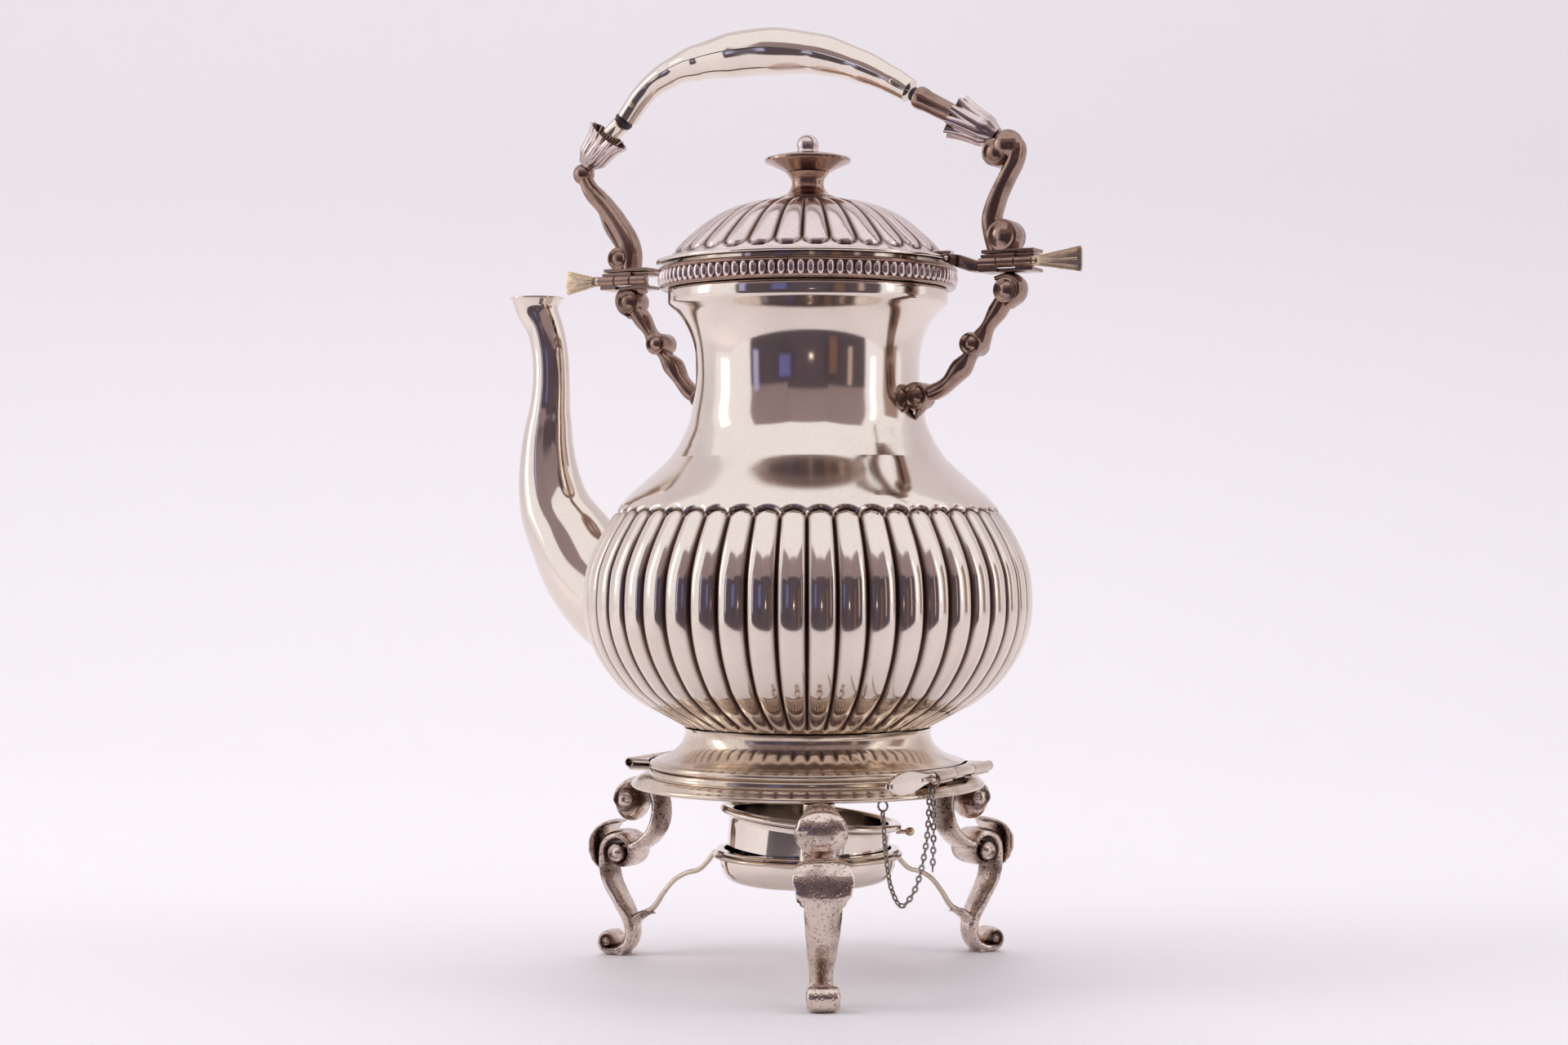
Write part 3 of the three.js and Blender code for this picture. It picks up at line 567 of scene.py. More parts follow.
def lobe_tree():
    """Convex lobes with round ends, pressed into a turned body, and how deep each point lies."""
    if "Lobes" in bpy.data.node_groups:
        return lobe_tree.made
    t = Tree("Lobes", [("Count", "Int"), ("Depth", "Float"), ("End Height", "Float"),
        ("End Length", "Float"), ("Axis X", "Float"), ("Fullness", "Float")])
    at = t.add("ShaderNodeSeparateXYZ", [(0, t.add("GeometryNodeInputPosition").outputs[0])]).outputs
    x = t.minus(at[0], t.take("Axis X"))
    radius = t.math("SQRT", t.plus(t.times(x, x), t.times(at[1], at[1])))
    turns = t.math("DIVIDE", t.math("ARCTAN2", at[1], x), 2 * math.pi)
    share = t.math("FRACT", t.plus(t.times(turns, t.take("Count")), 100.5))
    side = t.times(t.math("ABSOLUTE", t.minus(share, 0.5)), 2.0)
    past = t.math("MAXIMUM", t.math("DIVIDE", t.minus(at[2], t.take("End Height")), t.take("End Length")),
        0.0)
    rho = t.math("SQRT", t.plus(t.times(side, side), t.times(past, past)))
    near = t.math("MINIMUM", rho, 1.0)
    bulge = t.minus(1.0, t.math("SQRT", t.minus(1.0, t.times(t.times(near, near), t.take("Fullness")))))
    fall = t.math("POWER", 2.718, t.times(t.math("MAXIMUM", t.minus(rho, 1.0), 0.0), -9.0))
    shape = t.times(bulge, fall)
    mask = t.add("GeometryNodeInputNamedAttribute", [("Name", "worked")], data_type="FLOAT").outputs[0]
    cavity = t.times(shape, mask)
    depth = t.times(t.times(t.take("Depth"), radius), cavity)
    normal = t.add("GeometryNodeInputNormal").outputs[0]
    push = t.add("ShaderNodeVectorMath", [(0, normal), (3, t.times(depth, -1.0))],
        operation="SCALE").outputs[0]
    keep = t.add("GeometryNodeStoreNamedAttribute", [("Geometry", t.take("Geometry")), ("Name", "cavity"),
        ("Value", cavity)], data_type="FLOAT", domain="POINT")
    moved = t.add("GeometryNodeSetPosition", [("Geometry", keep.outputs[0]), ("Offset", push)])
    t.end(moved.outputs[0])
    lobe_tree.made = t
    return t


def bead_tree():
    """Egg-shaped beads side by side round a ring."""
    t = Tree("Gadroons", [("Count", "Int"), ("Radius", "Float"), ("Height", "Float"), ("Axis X", "Float"),
        ("Bead", "Vector")])
    ring = t.add("GeometryNodeCurvePrimitiveCircle", [("Resolution", t.take("Count")),
        ("Radius", t.take("Radius"))])
    spots = t.add("GeometryNodeCurveToPoints", [("Curve", ring.outputs[0]), ("Count", t.take("Count"))],
        mode="COUNT")
    angle = t.math("DIVIDE", t.times(t.add("GeometryNodeInputIndex").outputs[0], 2 * math.pi),
        t.take("Count"))
    turn = t.add("ShaderNodeCombineXYZ", [(2, angle)])
    egg = t.add("GeometryNodeMeshUVSphere", [("Segments", 12), ("Rings", 8), ("Radius", 1.0)])
    beads = t.add("GeometryNodeInstanceOnPoints", [("Points", spots.outputs[0]),
        ("Instance", egg.outputs[0]), ("Rotation", turn.outputs[0]), ("Scale", t.take("Bead"))])
    shift = t.add("ShaderNodeCombineXYZ", [(0, t.take("Axis X")), (2, t.take("Height"))])
    put = t.add("GeometryNodeTransform", [("Geometry", beads.outputs[0]),
        ("Translation", shift.outputs[0])])
    t.end(put.outputs[0])
    return t


def link_tree():
    """Oval wire links along a curve, each a quarter turn from the one before."""
    t = Tree("Chain links", [("Pitch", "Float"), ("Wire", "Float")])
    spots = t.add("GeometryNodeCurveToPoints", [("Curve", t.take("Geometry")), ("Length", t.take("Pitch"))],
        mode="LENGTH")
    odd = t.math("MODULO", t.add("GeometryNodeInputIndex").outputs[0], 2.0)
    spin = t.add("ShaderNodeCombineXYZ", [(2, t.plus(t.times(odd, math.pi / 2), 0.4))])
    lean = t.add("FunctionNodeRotateRotation", [("Rotation", spots.outputs["Rotation"]),
        ("Rotate By", spin.outputs[0])], rotation_space="LOCAL")
    ring = t.add("GeometryNodeCurvePrimitiveCircle", [("Resolution", 14),
        ("Radius", t.times(t.take("Pitch"), 0.62))])
    oval_ring = t.add("GeometryNodeTransform", [("Geometry", ring.outputs[0]),
        ("Rotation", (math.pi / 2, 0, 0)), ("Scale", (0.62, 1, 1.12))])
    wire = t.add("GeometryNodeCurvePrimitiveCircle", [("Resolution", 6),
        ("Radius", t.times(t.take("Wire"), 0.5))])
    link = t.add("GeometryNodeCurveToMesh", [("Curve", oval_ring.outputs[0]),
        ("Profile Curve", wire.outputs[0])])
    links = t.add("GeometryNodeInstanceOnPoints", [("Points", spots.outputs[0]),
        ("Instance", link.outputs[0]), ("Rotation", lean.outputs[0])])
    t.end(links.outputs[0])
    return t


# ---------------------------------------------------------------- kettle body
BOWL = [(48.6, 96), (53.3, 98.6), (59.4, 101.8), (65.1, 105), (69.6, 108.2), (73.6, 111.4), (78.9, 117.8),
    (82.9, 124.2), (85.6, 130.6), (87.2, 137), (87.7, 145), (86.7, 156.2), (84.6, 162.6), (81.6, 169),
    (77.8, 175.4), (73.4, 182)]
NECK = [(73.4, 182), (70.9, 185), (67.5, 188.2), (62.1, 193), (56.8, 197.8), (52.3, 202.6), (49.6, 207.4),
    (46.7, 213.8), (45.3, 220.2), (44, 228.2), (43.8, 236.2), (44.3, 242.6), (45.4, 247.4), (47.5, 252.2),
    (50.9, 257), (53.4, 259.2)]


def points_of(obj):
    """The vertices of a piece, in millimetres."""
    co = np.empty(len(obj.data.vertices) * 3)
    obj.data.vertices.foreach_get("co", co)
    return co.reshape(-1, 3) / MM


def store(obj, name, values):
    obj.data.attributes.new(name, "FLOAT", "POINT").data.foreach_set("value", values.astype(float))


def mark(obj, low, high, inner):
    """Lets lobes form on the outer skin between two heights; inner is a table of the lining's radii."""
    co = points_of(obj)
    r = np.hypot(co[:, 0] - AXIS / MM, co[:, 1])
    store(obj, "worked", (co[:, 2] > low) & (co[:, 2] < high) & (r > along(inner, co[:, 2])))


def body_skin(sizes):
    whole = spline(BOWL + NECK[1:], 400)
    low = at_steps(whole[whole[:, 1] <= 175.5], 62)
    arch = at_steps(whole[(whole[:, 1] >= 175.5) & (whole[:, 1] <= 185.5)], 20)
    high = at_steps(whole[whole[:, 1] >= 185.5], 36)
    collar = outline(([(53.4, 259.2), (54.5, 260.4), (54.8, 261)], 4), ([(54.9, 265.6)], 4),
        ([(54.6, 266), (53.4, 266)], 4))
    lining = at_steps([(53.4, 266), (43, 248), (42.3, 232), (46, 212), (60, 192), (76, 175), (83.6, 158),
        (84, 138), (75, 117), (46, 98.2), (2, 94.4)], 18)
    bottom = at_steps([(2, 91.6), (40, 93.3), (48.6, 96)], 5)
    profile = np.vstack([bottom, low[1:], arch, high, collar[1:], lining[1:]])
    body = turned("kettle_body", profile, sizes.lobes * 12, crease=55)
    mark(body, 97.2, 186.5, [(94, 44.8), (98, 49.8), (117, 75.8), (138, 85.2), (158, 84.8), (175, 76.8),
        (192, 60.8)])
    return worked(body, lobe_tree(), "fluted silver", 55, Count=sizes.lobes, Depth=sizes.lobe_depth,
        End_Height=sizes.lobe_top, End_Length=sizes.lobe_arch, Axis_X=AXIS, Fullness=0.965)


class KETTLE_OT_body(bpy.types.Operator):
    """Raise the kettle's fluted bowl and plain neck in one skin, with the splayed foot"""
    bl_idname = "kettle.body"
    bl_label = "Bowl, Neck and Foot"

    def execute(self, context):
        place(body_skin(context.scene.kettle_sizes), "kettle", "fluted silver", "kettle_bowl",
            "kettle_neck")
        foot = outline(([(47.2, 95.6), (48.7, 95.6)], 3), ([(48.1, 94), (48.2, 92.2), (49.6, 89),
            (52.2, 86.4), (56, 84.2), (60, 83)], 22), ([(60.4, 82.5), (61.5, 82.3), (62, 81.6), (62, 80.5),
            (61.6, 80.05)], 12), ([(57, 80.05)], 3), ([(50.6, 85.4), (47, 89.6), (47.2, 95.6)], 10))
        place(turned("kettle_foot_ring", foot[:-1], 144, closed=True), "kettle", "worn silver",
            "kettle_foot")
        return {"FINISHED"}


class KETTLE_OT_rim(bpy.types.Operator):
    """Set the gadrooned border round the kettle's mouth"""
    bl_idname = "kettle.rim"
    bl_label = "Rim Border"

    def execute(self, context):
        sizes = context.scene.kettle_sizes
        band = outline(([(51, 266.35), (57, 266.35)], 3), ([(57.9, 266.9), (57.4, 267.9), (56.9, 268.2)],
            8), ([(56.6, 270.4), (56.9, 272.6)], 5), ([(58.4, 273), (58.6, 273.8), (57.9, 274.5)], 8),
            ([(51, 274.5)], 3))
        base = turned("rim_band", band, 160, closed=True)
        place(base, "kettle", "cast silver", "kettle_rim_border")
        host = piece("rim_gadroons", [(0, 0, 0), (1, 0, 0), (0, 1, 0)], [(0, 1, 2)])
        beads = worked(host, bead_tree(), "lid silver", 60, Count=sizes.rim_beads, Radius=0.0568,
            Height=0.2704, Axis_X=AXIS, Bead=(0.0019, 0.00172, 0.0036))
        place(beads, "kettle", "lid silver")
        return {"FINISHED"}


SPOUT = [(-78, 141), (-86.9, 145.5), (-98.6, 155.3), (-108.4, 168.7), (-115.4, 180), (-118.8, 192),
    (-119.8, 205.7), (-119, 219), (-118.1, 232.6), (-118.8, 246), (-121.4, 256), (-124.2, 261.6),
    (-125, 264.6), (-125.1, 267.2)]
SPOUT_R = [(0, 23), (0.07, 22), (0.17, 20), (0.28, 17.6), (0.36, 15.6), (0.44, 13.6), (0.54, 11.4),
    (0.63, 9.6), (0.72, 7.9), (0.82, 7.4), (0.9, 7.5), (0.94, 7.9), (0.97, 8.7), (1, 10.1)]


class KETTLE_OT_spout(bpy.types.Operator):
    """Draw the swan-neck spout with its flared level lip"""
    bl_idname = "kettle.spout"
    bl_label = "Spout"

    def execute(self, context):
        count, around = 110, 64
        p = spline(SPOUT, count)
        t = np.linspace(0, 1, count)
        d = headings(p)
        radius = spline(SPOUT_R, 400)
        radius = np.interp(t, radius[:, 0], radius[:, 1])
        a = np.linspace(0, 2 * math.pi, around, endpoint=False)

        def ring(i, grow, drop=0.0):
            across = np.array([d[i, 1], 0, -d[i, 0]])
            mid = np.array([p[i, 0], 0, p[i, 1] + drop])
            r = radius[i] + grow
            return mid + r * (np.cos(a)[:, None] * across + np.sin(a)[:, None] * np.array([0, 1, 0]))

        outer = [ring(i, 0) for i in range(count)]
        lip = [ring(count - 1, g, h) for g, h in ((0.1, 0.15), (0.8, 0.2), (1.05, 0.55), (1.0, 0.95),
            (0.6, 1.2), (0, 1.25), (-0.5, 1.05), (-0.8, 0.4))]
        inner = [ring(i, -1.1) for i in range(count - 2, 40, -2)]
        verts, faces = skin(outer + lip + inner)
        place(piece("spout_tube", verts, faces, 50), "kettle", "polished silver", "spout")
        return {"FINISHED"}


# ---------------------------------------------------------------- lid
class KETTLE_OT_lid(bpy.types.Operator):
    """Shape the lobed lid, its flat rim and bezel"""
    bl_idname = "kettle.lid"
    bl_label = "Lid"

    def execute(self, context):
        sizes = context.scene.kettle_sizes
        rim = outline(([(49.8, 268.5), (50.6, 268.5)], 3), ([(50.6, 275.9)], 4), ([(58.6, 275.9)], 4),
            ([(59.3, 276.3), (59.3, 277.1), (58.7, 277.5)], 8), ([(54.6, 277.75)], 3), ([(49.8, 277.7)], 3))
        place(turned("lid_flange", rim, 160, closed=True), "lid", "polished silver", "lid_rim")
        dome = outline(([(52.4, 277.9), (54.3, 278)], 3), ([(53.6, 279.6), (50.4, 283.6), (46.4, 287.4),
            (39.2, 293.3), (32, 297.3), (22.4, 300.3), (11, 301.9), (1, 302)], 56))
        inside = at_steps([(1, 300.6), (21.6, 298.8), (31, 295.6), (45, 286), (52.4, 277.9)], 10)
        cover = turned("lid_dome_cover", np.vstack([inside, dome[1:]]), sizes.lid_lobes * 14, crease=55)
        mark(cover, 278.2, 301.6, [(277, 53.2), (286, 45.8), (295.6, 32), (298.8, 23), (300.6, 10)])
        cover = worked(cover, lobe_tree(), "lid silver", 55, Count=sizes.lid_lobes, Depth=0.052,
            End_Height=0.2832, End_Length=-0.0034, Axis_X=AXIS, Fullness=0.93)
        place(cover, "lid", "lid silver", "lid_dome")
        return {"FINISHED"}


class KETTLE_OT_finial(bpy.types.Operator):
    """Turn the lid's finial: waisted base, thin disc and button"""
    bl_idname = "kettle.finial"
    bl_label = "Finial"

    def execute(self, context):
        base = outline(([(1, 301.6), (11.4, 301.6)], 3), ([(11.5, 302.5), (10.6, 303)], 5),
            ([(8, 304.4), (6.4, 307), (6.4, 309.4), (8.4, 312.4)], 14), ([(1, 312.5)], 3))
        disc = outline(([(1, 312.6), (8.6, 312.6)], 3), ([(11.4, 314), (15, 315.7), (16.8, 316.6),
            (16.9, 317.5), (16.2, 318.1)], 14), ([(12.6, 319), (8, 320), (5.2, 320.5)], 10),
            ([(1, 320.55)], 3))
        button = outline(([(0.6, 320.6), (4.4, 320.65)], 3), ([(4.1, 321.4), (4.4, 322.6), (4.2, 324.4),
            (3.2, 326.2), (1.8, 327.1), (0.4, 327.3)], 20))
        # the stem and disc take the darker finial silver, which paints the shade from under the disc on
        # them as well as tarnish
        for name, profile, look, cad in (("finial_stem", base, "finial silver", "finial_base"),
                ("finial_plate", disc, "finial silver", "finial_disc"), ("finial_ball", button,
                "lid silver", "finial_button")):
            place(turned(name, profile, 72), "lid", look, cad)
        return {"FINISHED"}


# ---------------------------------------------------------------- scrolls and brackets
def boss(x, z, r, half, eye=0.5):
    """A rolled scroll seen end on: domed faces with a sunk ring round a button."""
    rows = [(0.3, -half - 0.5), (r * eye * 0.6, -half - 0.4), (r * eye, -half + 0.2),
        (r * (eye + 0.12), -half + 0.5), (r * 0.8, -half - 0.1), (r * 0.94, -half + 0.2), (r, -half + 0.9)]
    rows += [(q, -h) for q, h in rows[::-1]]
    return spun([(q, h + half) for q, h in rows], (x, -half, z), (x, half, z), 36)


BRACKETS = {"back": [(85, 262.8), (80.5, 255.6), (75.8, 248.8), (71.8, 242.4), (68, 237.4), (64.6, 233.4),
    (59, 227.8), (53, 225), (47.2, 224)], "spout": [(79.2, 264.6), (74.6, 257.6), (70.4, 251.6),
    (67, 246.6), (63.2, 241.8), (60, 237.8), (55.8, 231.6), (51.4, 227), (46.4, 224.6)]}


def bracket_parts(spine, low):
    """A string of rolls and leaf swellings along a spine; low is the radius of the last roll."""
    (tx, tz), (mx, mz), (ex, ez) = spine[0], spine[3], spine[-1]
    band = swept(spine, [(0, 3.0), (0.16, 3.4), (0.28, 2.3), (0.4, 3.8), (0.5, 2.3), (0.62, 3.9),
        (0.75, 2.8), (0.88, 3.2), (1, 2.0)], [(0, 4.8), (0.28, 4.2), (0.4, 5.0), (0.5, 4.4), (0.62, 5.0),
        (0.8, 4.3), (1, 3.8)], oval(24, 2.4), 90)
    cap = swept([(tx - 4.5, tz + 4.6), (tx + 1, tz + 5.4), (tx + 4.6, tz + 2.4), (tx + 4.2, tz - 2.6),
        (tx, tz - 6)], [(0, 1.2), (0.5, 1.7), (1, 1.0)], [(0, 4.4), (0.5, 5.0), (1, 4.2)], oval(20, 2.4),
        40)
    leaf = swept([(ex + 2, ez - 3), (ex + 0.6, ez - 6.2), (ex - 1.4, ez - 9.6)], [(0, 2.2), (1, 0.5)],
        [(0, 3.4), (1, 0.8)], oval(20, 2.2), 20)
    return [band, cap, leaf, boss(tx, tz, 5.0, 5.2), boss(mx - 1, mz + 0.6, 4.4, 5.6),
        boss(ex + 0.6, ez, low, 5.0)]


class KETTLE_OT_brackets(bpy.types.Operator):
    """Scroll the two cast brackets that carry the handle's hinges"""
    bl_idname = "kettle.brackets"
    bl_label = "Brackets"

    def execute(self, context):
        for name, mirror, low in (("back", False, 5.2), ("spout", True, 3.4)):
            place(joined("bracket_scroll_" + name, bracket_parts(BRACKETS[name], low), mirror=mirror),
                "kettle", "cast silver", "bracket_" + name)
        return {"FINISHED"}


# ---------------------------------------------------------------- hinges
def handle_leaf_parts(mid, lower):
    half, y, z = 10.75, PIN_Y, PIN_Z
    spans = [(mid - half + i * 7.17 + (0.2 if i else 0), mid - half + (i + 1) * 7.17
        - (0.2 if i < 2 else 0)) for i in range(3)]
    low, high = (z - 3.4, z - 2.1) if lower else (z + 2.1, z + 3.4)
    x0, x1 = mid - half, mid + half
    plate = slab([(x0, y + 1.6), (x1, y + 1.6), (x1, 4.4), (x1 - 0.8, 5), (x0 + 0.8, 5), (x0, 4.4)], low,
        high)
    parts = [plate]
    for i, (a, b) in enumerate(spans):
        if (i != 1) == lower:
            parts.append(barrel((a, y, z), (b, y, z), 1.95, 1.05))
            parts.append(slab([(a, y), (b, y), (b, y + 2.2), (a, y + 2.2)],
                *((low, z - 1.35) if lower else (z + 1.35, high))))
    return parts


class KETTLE_OT_handle_hinges(bpy.types.Operator):
    """Make both leaves of the two handle hinges and their fan-headed pins"""
    bl_idname = "kettle.handle_hinges"
    bl_label = "Handle Hinges"

    def execute(self, context):
        for name, mid in (("back", 86), ("spout", -80)):
            place(joined("fixed_leaf_" + name, handle_leaf_parts(mid, True)), "kettle", "cast silver",
                "kettle_hinge_leaf_" + name)
            place(joined("moving_leaf_" + name, handle_leaf_parts(mid, False)), "handle", "cast silver",
                "handle_hinge_leaf_" + name)
        for name, mid, reach in (("back", 86, 116.5), ("spout", 80, 106.5)):
            root = mid + 11.15
            fan = [(root, 271.2), (root + 2.5, 270.9), (reach - 3, 268.6), (reach - 0.6, 268.2),
                (reach, 269.2), (reach, PIN_Z), (reach, 276.8), (reach - 0.6, 277.8), (reach - 3, 277.4),
                (root + 2.5, 275.1), (root, 274.8)]
            parts = [slab(fan, -7.35, -5.65, 0.4, "XZ"), pin((mid - 11.05, PIN_Y, PIN_Z),
                (root + 1.5, PIN_Y, PIN_Z), 0.9), barrel((root - 0.2, PIN_Y, PIN_Z),
                (root + 1.3, PIN_Y, PIN_Z), 1.7, 0.5)]
            for k in (-1, 0, 1):
                for y in (-7.4, -5.6):
                    parts.append(swept([(root + 3, PIN_Z + 0.9 * k), (reach - 1.5, PIN_Z + 3.1 * k)],
                        [(0, 0.25), (1, 0.5)], [(0, 0.18), (1, 0.22)], oval(10), 10, shift=y))
            place(joined("fan_pin_" + name, parts, mirror=name == "spout"), "hinge_pin_" + name,
                "brown-gold", "handle_pin_" + name)
        return {"FINISHED"}


class KETTLE_OT_lid_hinge(bpy.types.Operator):
    """Make the lid's pointed leaf, the fixed arm and the hinge pin"""
    bl_idname = "kettle.lid_hinge"
    bl_label = "Lid Hinge"

    def execute(self, context):
        x, z, r = 61.4, 275.8, 1.8
        leaf = [(60.8, -2.1), (60.8, 2.1), (58.6, 3), (57, 4.4), (55.6, 4.2), (52.6, 1.8), (49.6, 0.3),
            (48.6, 0), (49.6, -0.3), (52.6, -1.8), (55.6, -4.2), (57, -4.4), (58.6, -3)]
        parts = [slab(leaf, 277.95, 279.0), barrel((x, -1.7, z), (x, 1.7, z), r, 0.95),
            slab([(59.9, -1.7), (61.6, -1.7), (61.6, 1.7), (59.9, 1.7)], z + 1.1, 279.0)]
        place(joined("lid_leaf", parts), "lid", "lid silver", "lid_hinge_leaf")
        parts = [barrel((x, a, z), (x, b, z), r, 0.95) for a, b in ((-5, -2.1), (2.1, 5))]
        bar = [(62.4, 274.2), (63.2, 277.3), (66, 277), (74.9, 273.7), (74.9, 270.1), (70, 270.4),
            (64, 272.6)]
        parts.append(slab(bar, -3.6, 3.6, 0.5, "XZ"))
        for y0, y1 in ((-5, -2.1), (2.1, 5)):
            parts.append(slab([(61.4, 274.1), (62, 277.5), (65.5, 277), (65, 272.4), (63, 273)], y0, y1,
                0.4, "XZ"))
        place(joined("lid_arm", parts), "kettle", "cast silver", "lid_hinge_arm")
        parts = [pin((x, -5.5, z), (x, 5.5, z), 0.7), ball((x, -5.5, z), 0.95, 0.9, 16),
            ball((x, 5.5, z), 0.95, 0.9, 16)]
        place(joined("lid_pin", parts), "kettle", "polished silver", "lid_hinge_pin")
        return {"FINISHED"}


def foot_leaf_parts(inner, low, high, rows, saddle):
    x, z, r, bore_r, half, edge = FOOT_X, FOOT_Z, 2.0, 1.45, FOOT_HALF, 63.2
    arc = [(math.sqrt(inner * inner - v * v), v) for v in np.linspace(-half, half, 15)]
    parts = [slab([(edge, half), (edge, -half)] + arc, low, high, 0.15)]
    for a, b in rows:
        parts.append(slab([(edge - 0.5, a), (x, a), (x, b), (edge - 0.5, b)], low, high, 0.1))
        if saddle:
            outer = spiral((x, z), r, r, -38, 218, 28)
            bore = spiral((x, z), bore_r, bore_r, 180, 0, 16)
            parts.append(slab(outer + [(x - bore_r, z - 1.2)] + bore + [(x + bore_r, z - 1.2)], a, b, 0.12,
                "XZ"))
        else:
            parts.append(barrel((x, a, z), (x, b, z), r, 1.4))
    return parts


class KETTLE_OT_foot_hinges(bpy.types.Operator):
    """Make the barrels that pin the kettle's foot to the stand, and the pivot pin"""
    bl_idname = "kettle.foot_hinges"
    bl_label = "Foot Hinges"

    def execute(self, context):
        step, gap = 2 * FOOT_HALF / 3, 0.2
        rows = [(i * step - FOOT_HALF + gap, (i + 1) * step - FOOT_HALF - gap) for i in range(3)]
        for name, mirror in (("release", False), ("spout", True)):
            place(joined("foot_knuckle_" + name, foot_leaf_parts(62.35, 80.9, 82.4, rows[1:2], not mirror),
                mirror=mirror), "kettle", "worn silver", "foot_leaf_" + name)
            place(joined("stand_knuckles_" + name, foot_leaf_parts(61.85, 78, 79.5, rows[::2], False),
                mirror=mirror), "stand", "worn silver", "stand_leaf_" + name)
        x, z = -FOOT_X, FOOT_Z
        parts = [pin((x, -17.5, z), (x, 27.7, z), 1.1), pin((x, 26.9, z), (x, 28.7, z), 1.9, 0.6)]
        place(joined("pivot_bolt", parts), "stand", "polished silver", "pivot_pin")
        return {"FINISHED"}


# ---------------------------------------------------------------- handle
GRIP = [(-82.1, 339.4), (-75.5, 347.4), (-69.6, 352.3), (-58.2, 357.6), (-46.9, 360), (-32, 361.4),
    (-15.5, 361.4), (4.3, 358.7), (22, 352.8), (36, 346), (43.7, 341.3)]
GRIP_T = [(0, 4.3), (0.1, 4.6), (0.2, 5.6), (0.3, 7.3), (0.42, 9.1), (0.53, 9.4), (0.68, 8), (0.82, 6.5),
    (0.93, 5.3), (1, 4.7)]


def shell_section(sign):
    """Half of a lens-shaped section; a small flat at each side makes the soldered seam."""
    a = np.linspace(0.012, math.pi - 0.012, 25)
    lift = np.abs(np.sin(a)) ** 1.12
    return np.stack([sign * (0.012 + 0.988 * lift), -sign * np.cos(a)], axis=1)


class KETTLE_OT_grip(bpy.types.Operator):
    """Solder the grip from two half shells, with its ferrules, dark rings and rivets"""
    bl_idname = "kettle.grip"
    bl_label = "Grip"

    def execute(self, context):
        for name, sign in (("upper", -1), ("lower", 1)):
            shape = swept(GRIP, GRIP_T, GRIP_T, shell_section(sign), 150)
            place(joined("grip_shell_" + name, [shape], 45), "handle", "polished silver", "grip_" + name)
        for name, (x, z), half in (("spout", (-77.5, 344.2), 4.6), ("back", (38.2, 344.7), 5.2)):
            parts = [spun([(0.2, -half - 0.3), (0.9, -half), (1.1, -half + 0.5), (1.1, half - 0.5),
                (0.9, half), (0.2, half + 0.3)], (x, 0, z), (x, 1, z), 20)]
            place(joined("grip_pin_" + name, parts), "handle", "brown-gold", "grip_rivet_" + name)
        for name, a, b, look, waist, ends in (("spout", (-95.2, 0, 328.6), (-84.4, 0, 337.8),
                "polished silver", [(3.7, 0.7)], [(3.8, 1.6), (4.0, 1.0), (3.7, 0.3)]),
                ("back", (68.4, 0, 327.4), (46.7, 0, 339.1), "cast silver", [(3.9, 0.5), (4.0, 0.78)],
                [(4.4, 3.2), (4.5, 1.4), (4.1, 0.3)])):
            l = span(a, b)
            rows = [(0.3, 0), (3.4, 0), (3.8, 0.4), (3.6, 1.2)] + [(r, l * f) for r, f in waist]
            rows += [(r, l - short) for r, short in ends] + [(0.3, l)]
            place(joined("ferrule_sleeve_" + name, [spun(rows, a, b, 40)]), "handle", look,
                "ferrule_" + name)
        for name, a, b, r in (("spout", (-84.3, 0, 337.8), (-82.5, 0, 339.2), 4.0),
                ("back", (46.6, 0, 339.2), (44.6, 0, 340.4), 2.8)):
            l = span(a, b)
            rows = [(0.3, 0), (r - 0.5, 0), (r, 0.5), (r, l - 0.5), (r - 0.5, l), (0.3, l)]
            place(joined("heat_break_" + name, [spun(rows, a, b, 36)]), "handle", "heat-break ring",
                "insulator_" + name)
        return {"FINISHED"}


def calyx_parts(base, rim, rim_r, petals, spread):
    """A fluted cup whose rim breaks into petals."""
    l = span(base, rim)

    def wave(a, r, z):
        up = unit(z / l)
        return 0.9 * up ** 0.6 * (np.abs(np.cos(a * petals / 2)) - 0.6) + spread * up ** 5 * np.cos(a
            * petals)

    rows = outline(([(0.4, 0), (3.6, 0)], 3), ([(4.4, l * 0.1), (5.9, l * 0.24), (6.5, l * 0.46),
        (7.2, l * 0.74), (rim_r, l)], 28), ([(rim_r - 0.9, l + 0.1)], 2),
        ([(6.2, l * 0.74), (5.3, l * 0.5), (0.4, l * 0.4)], 14))
    return [spun(rows, base, rim, 96, wave=wave)]


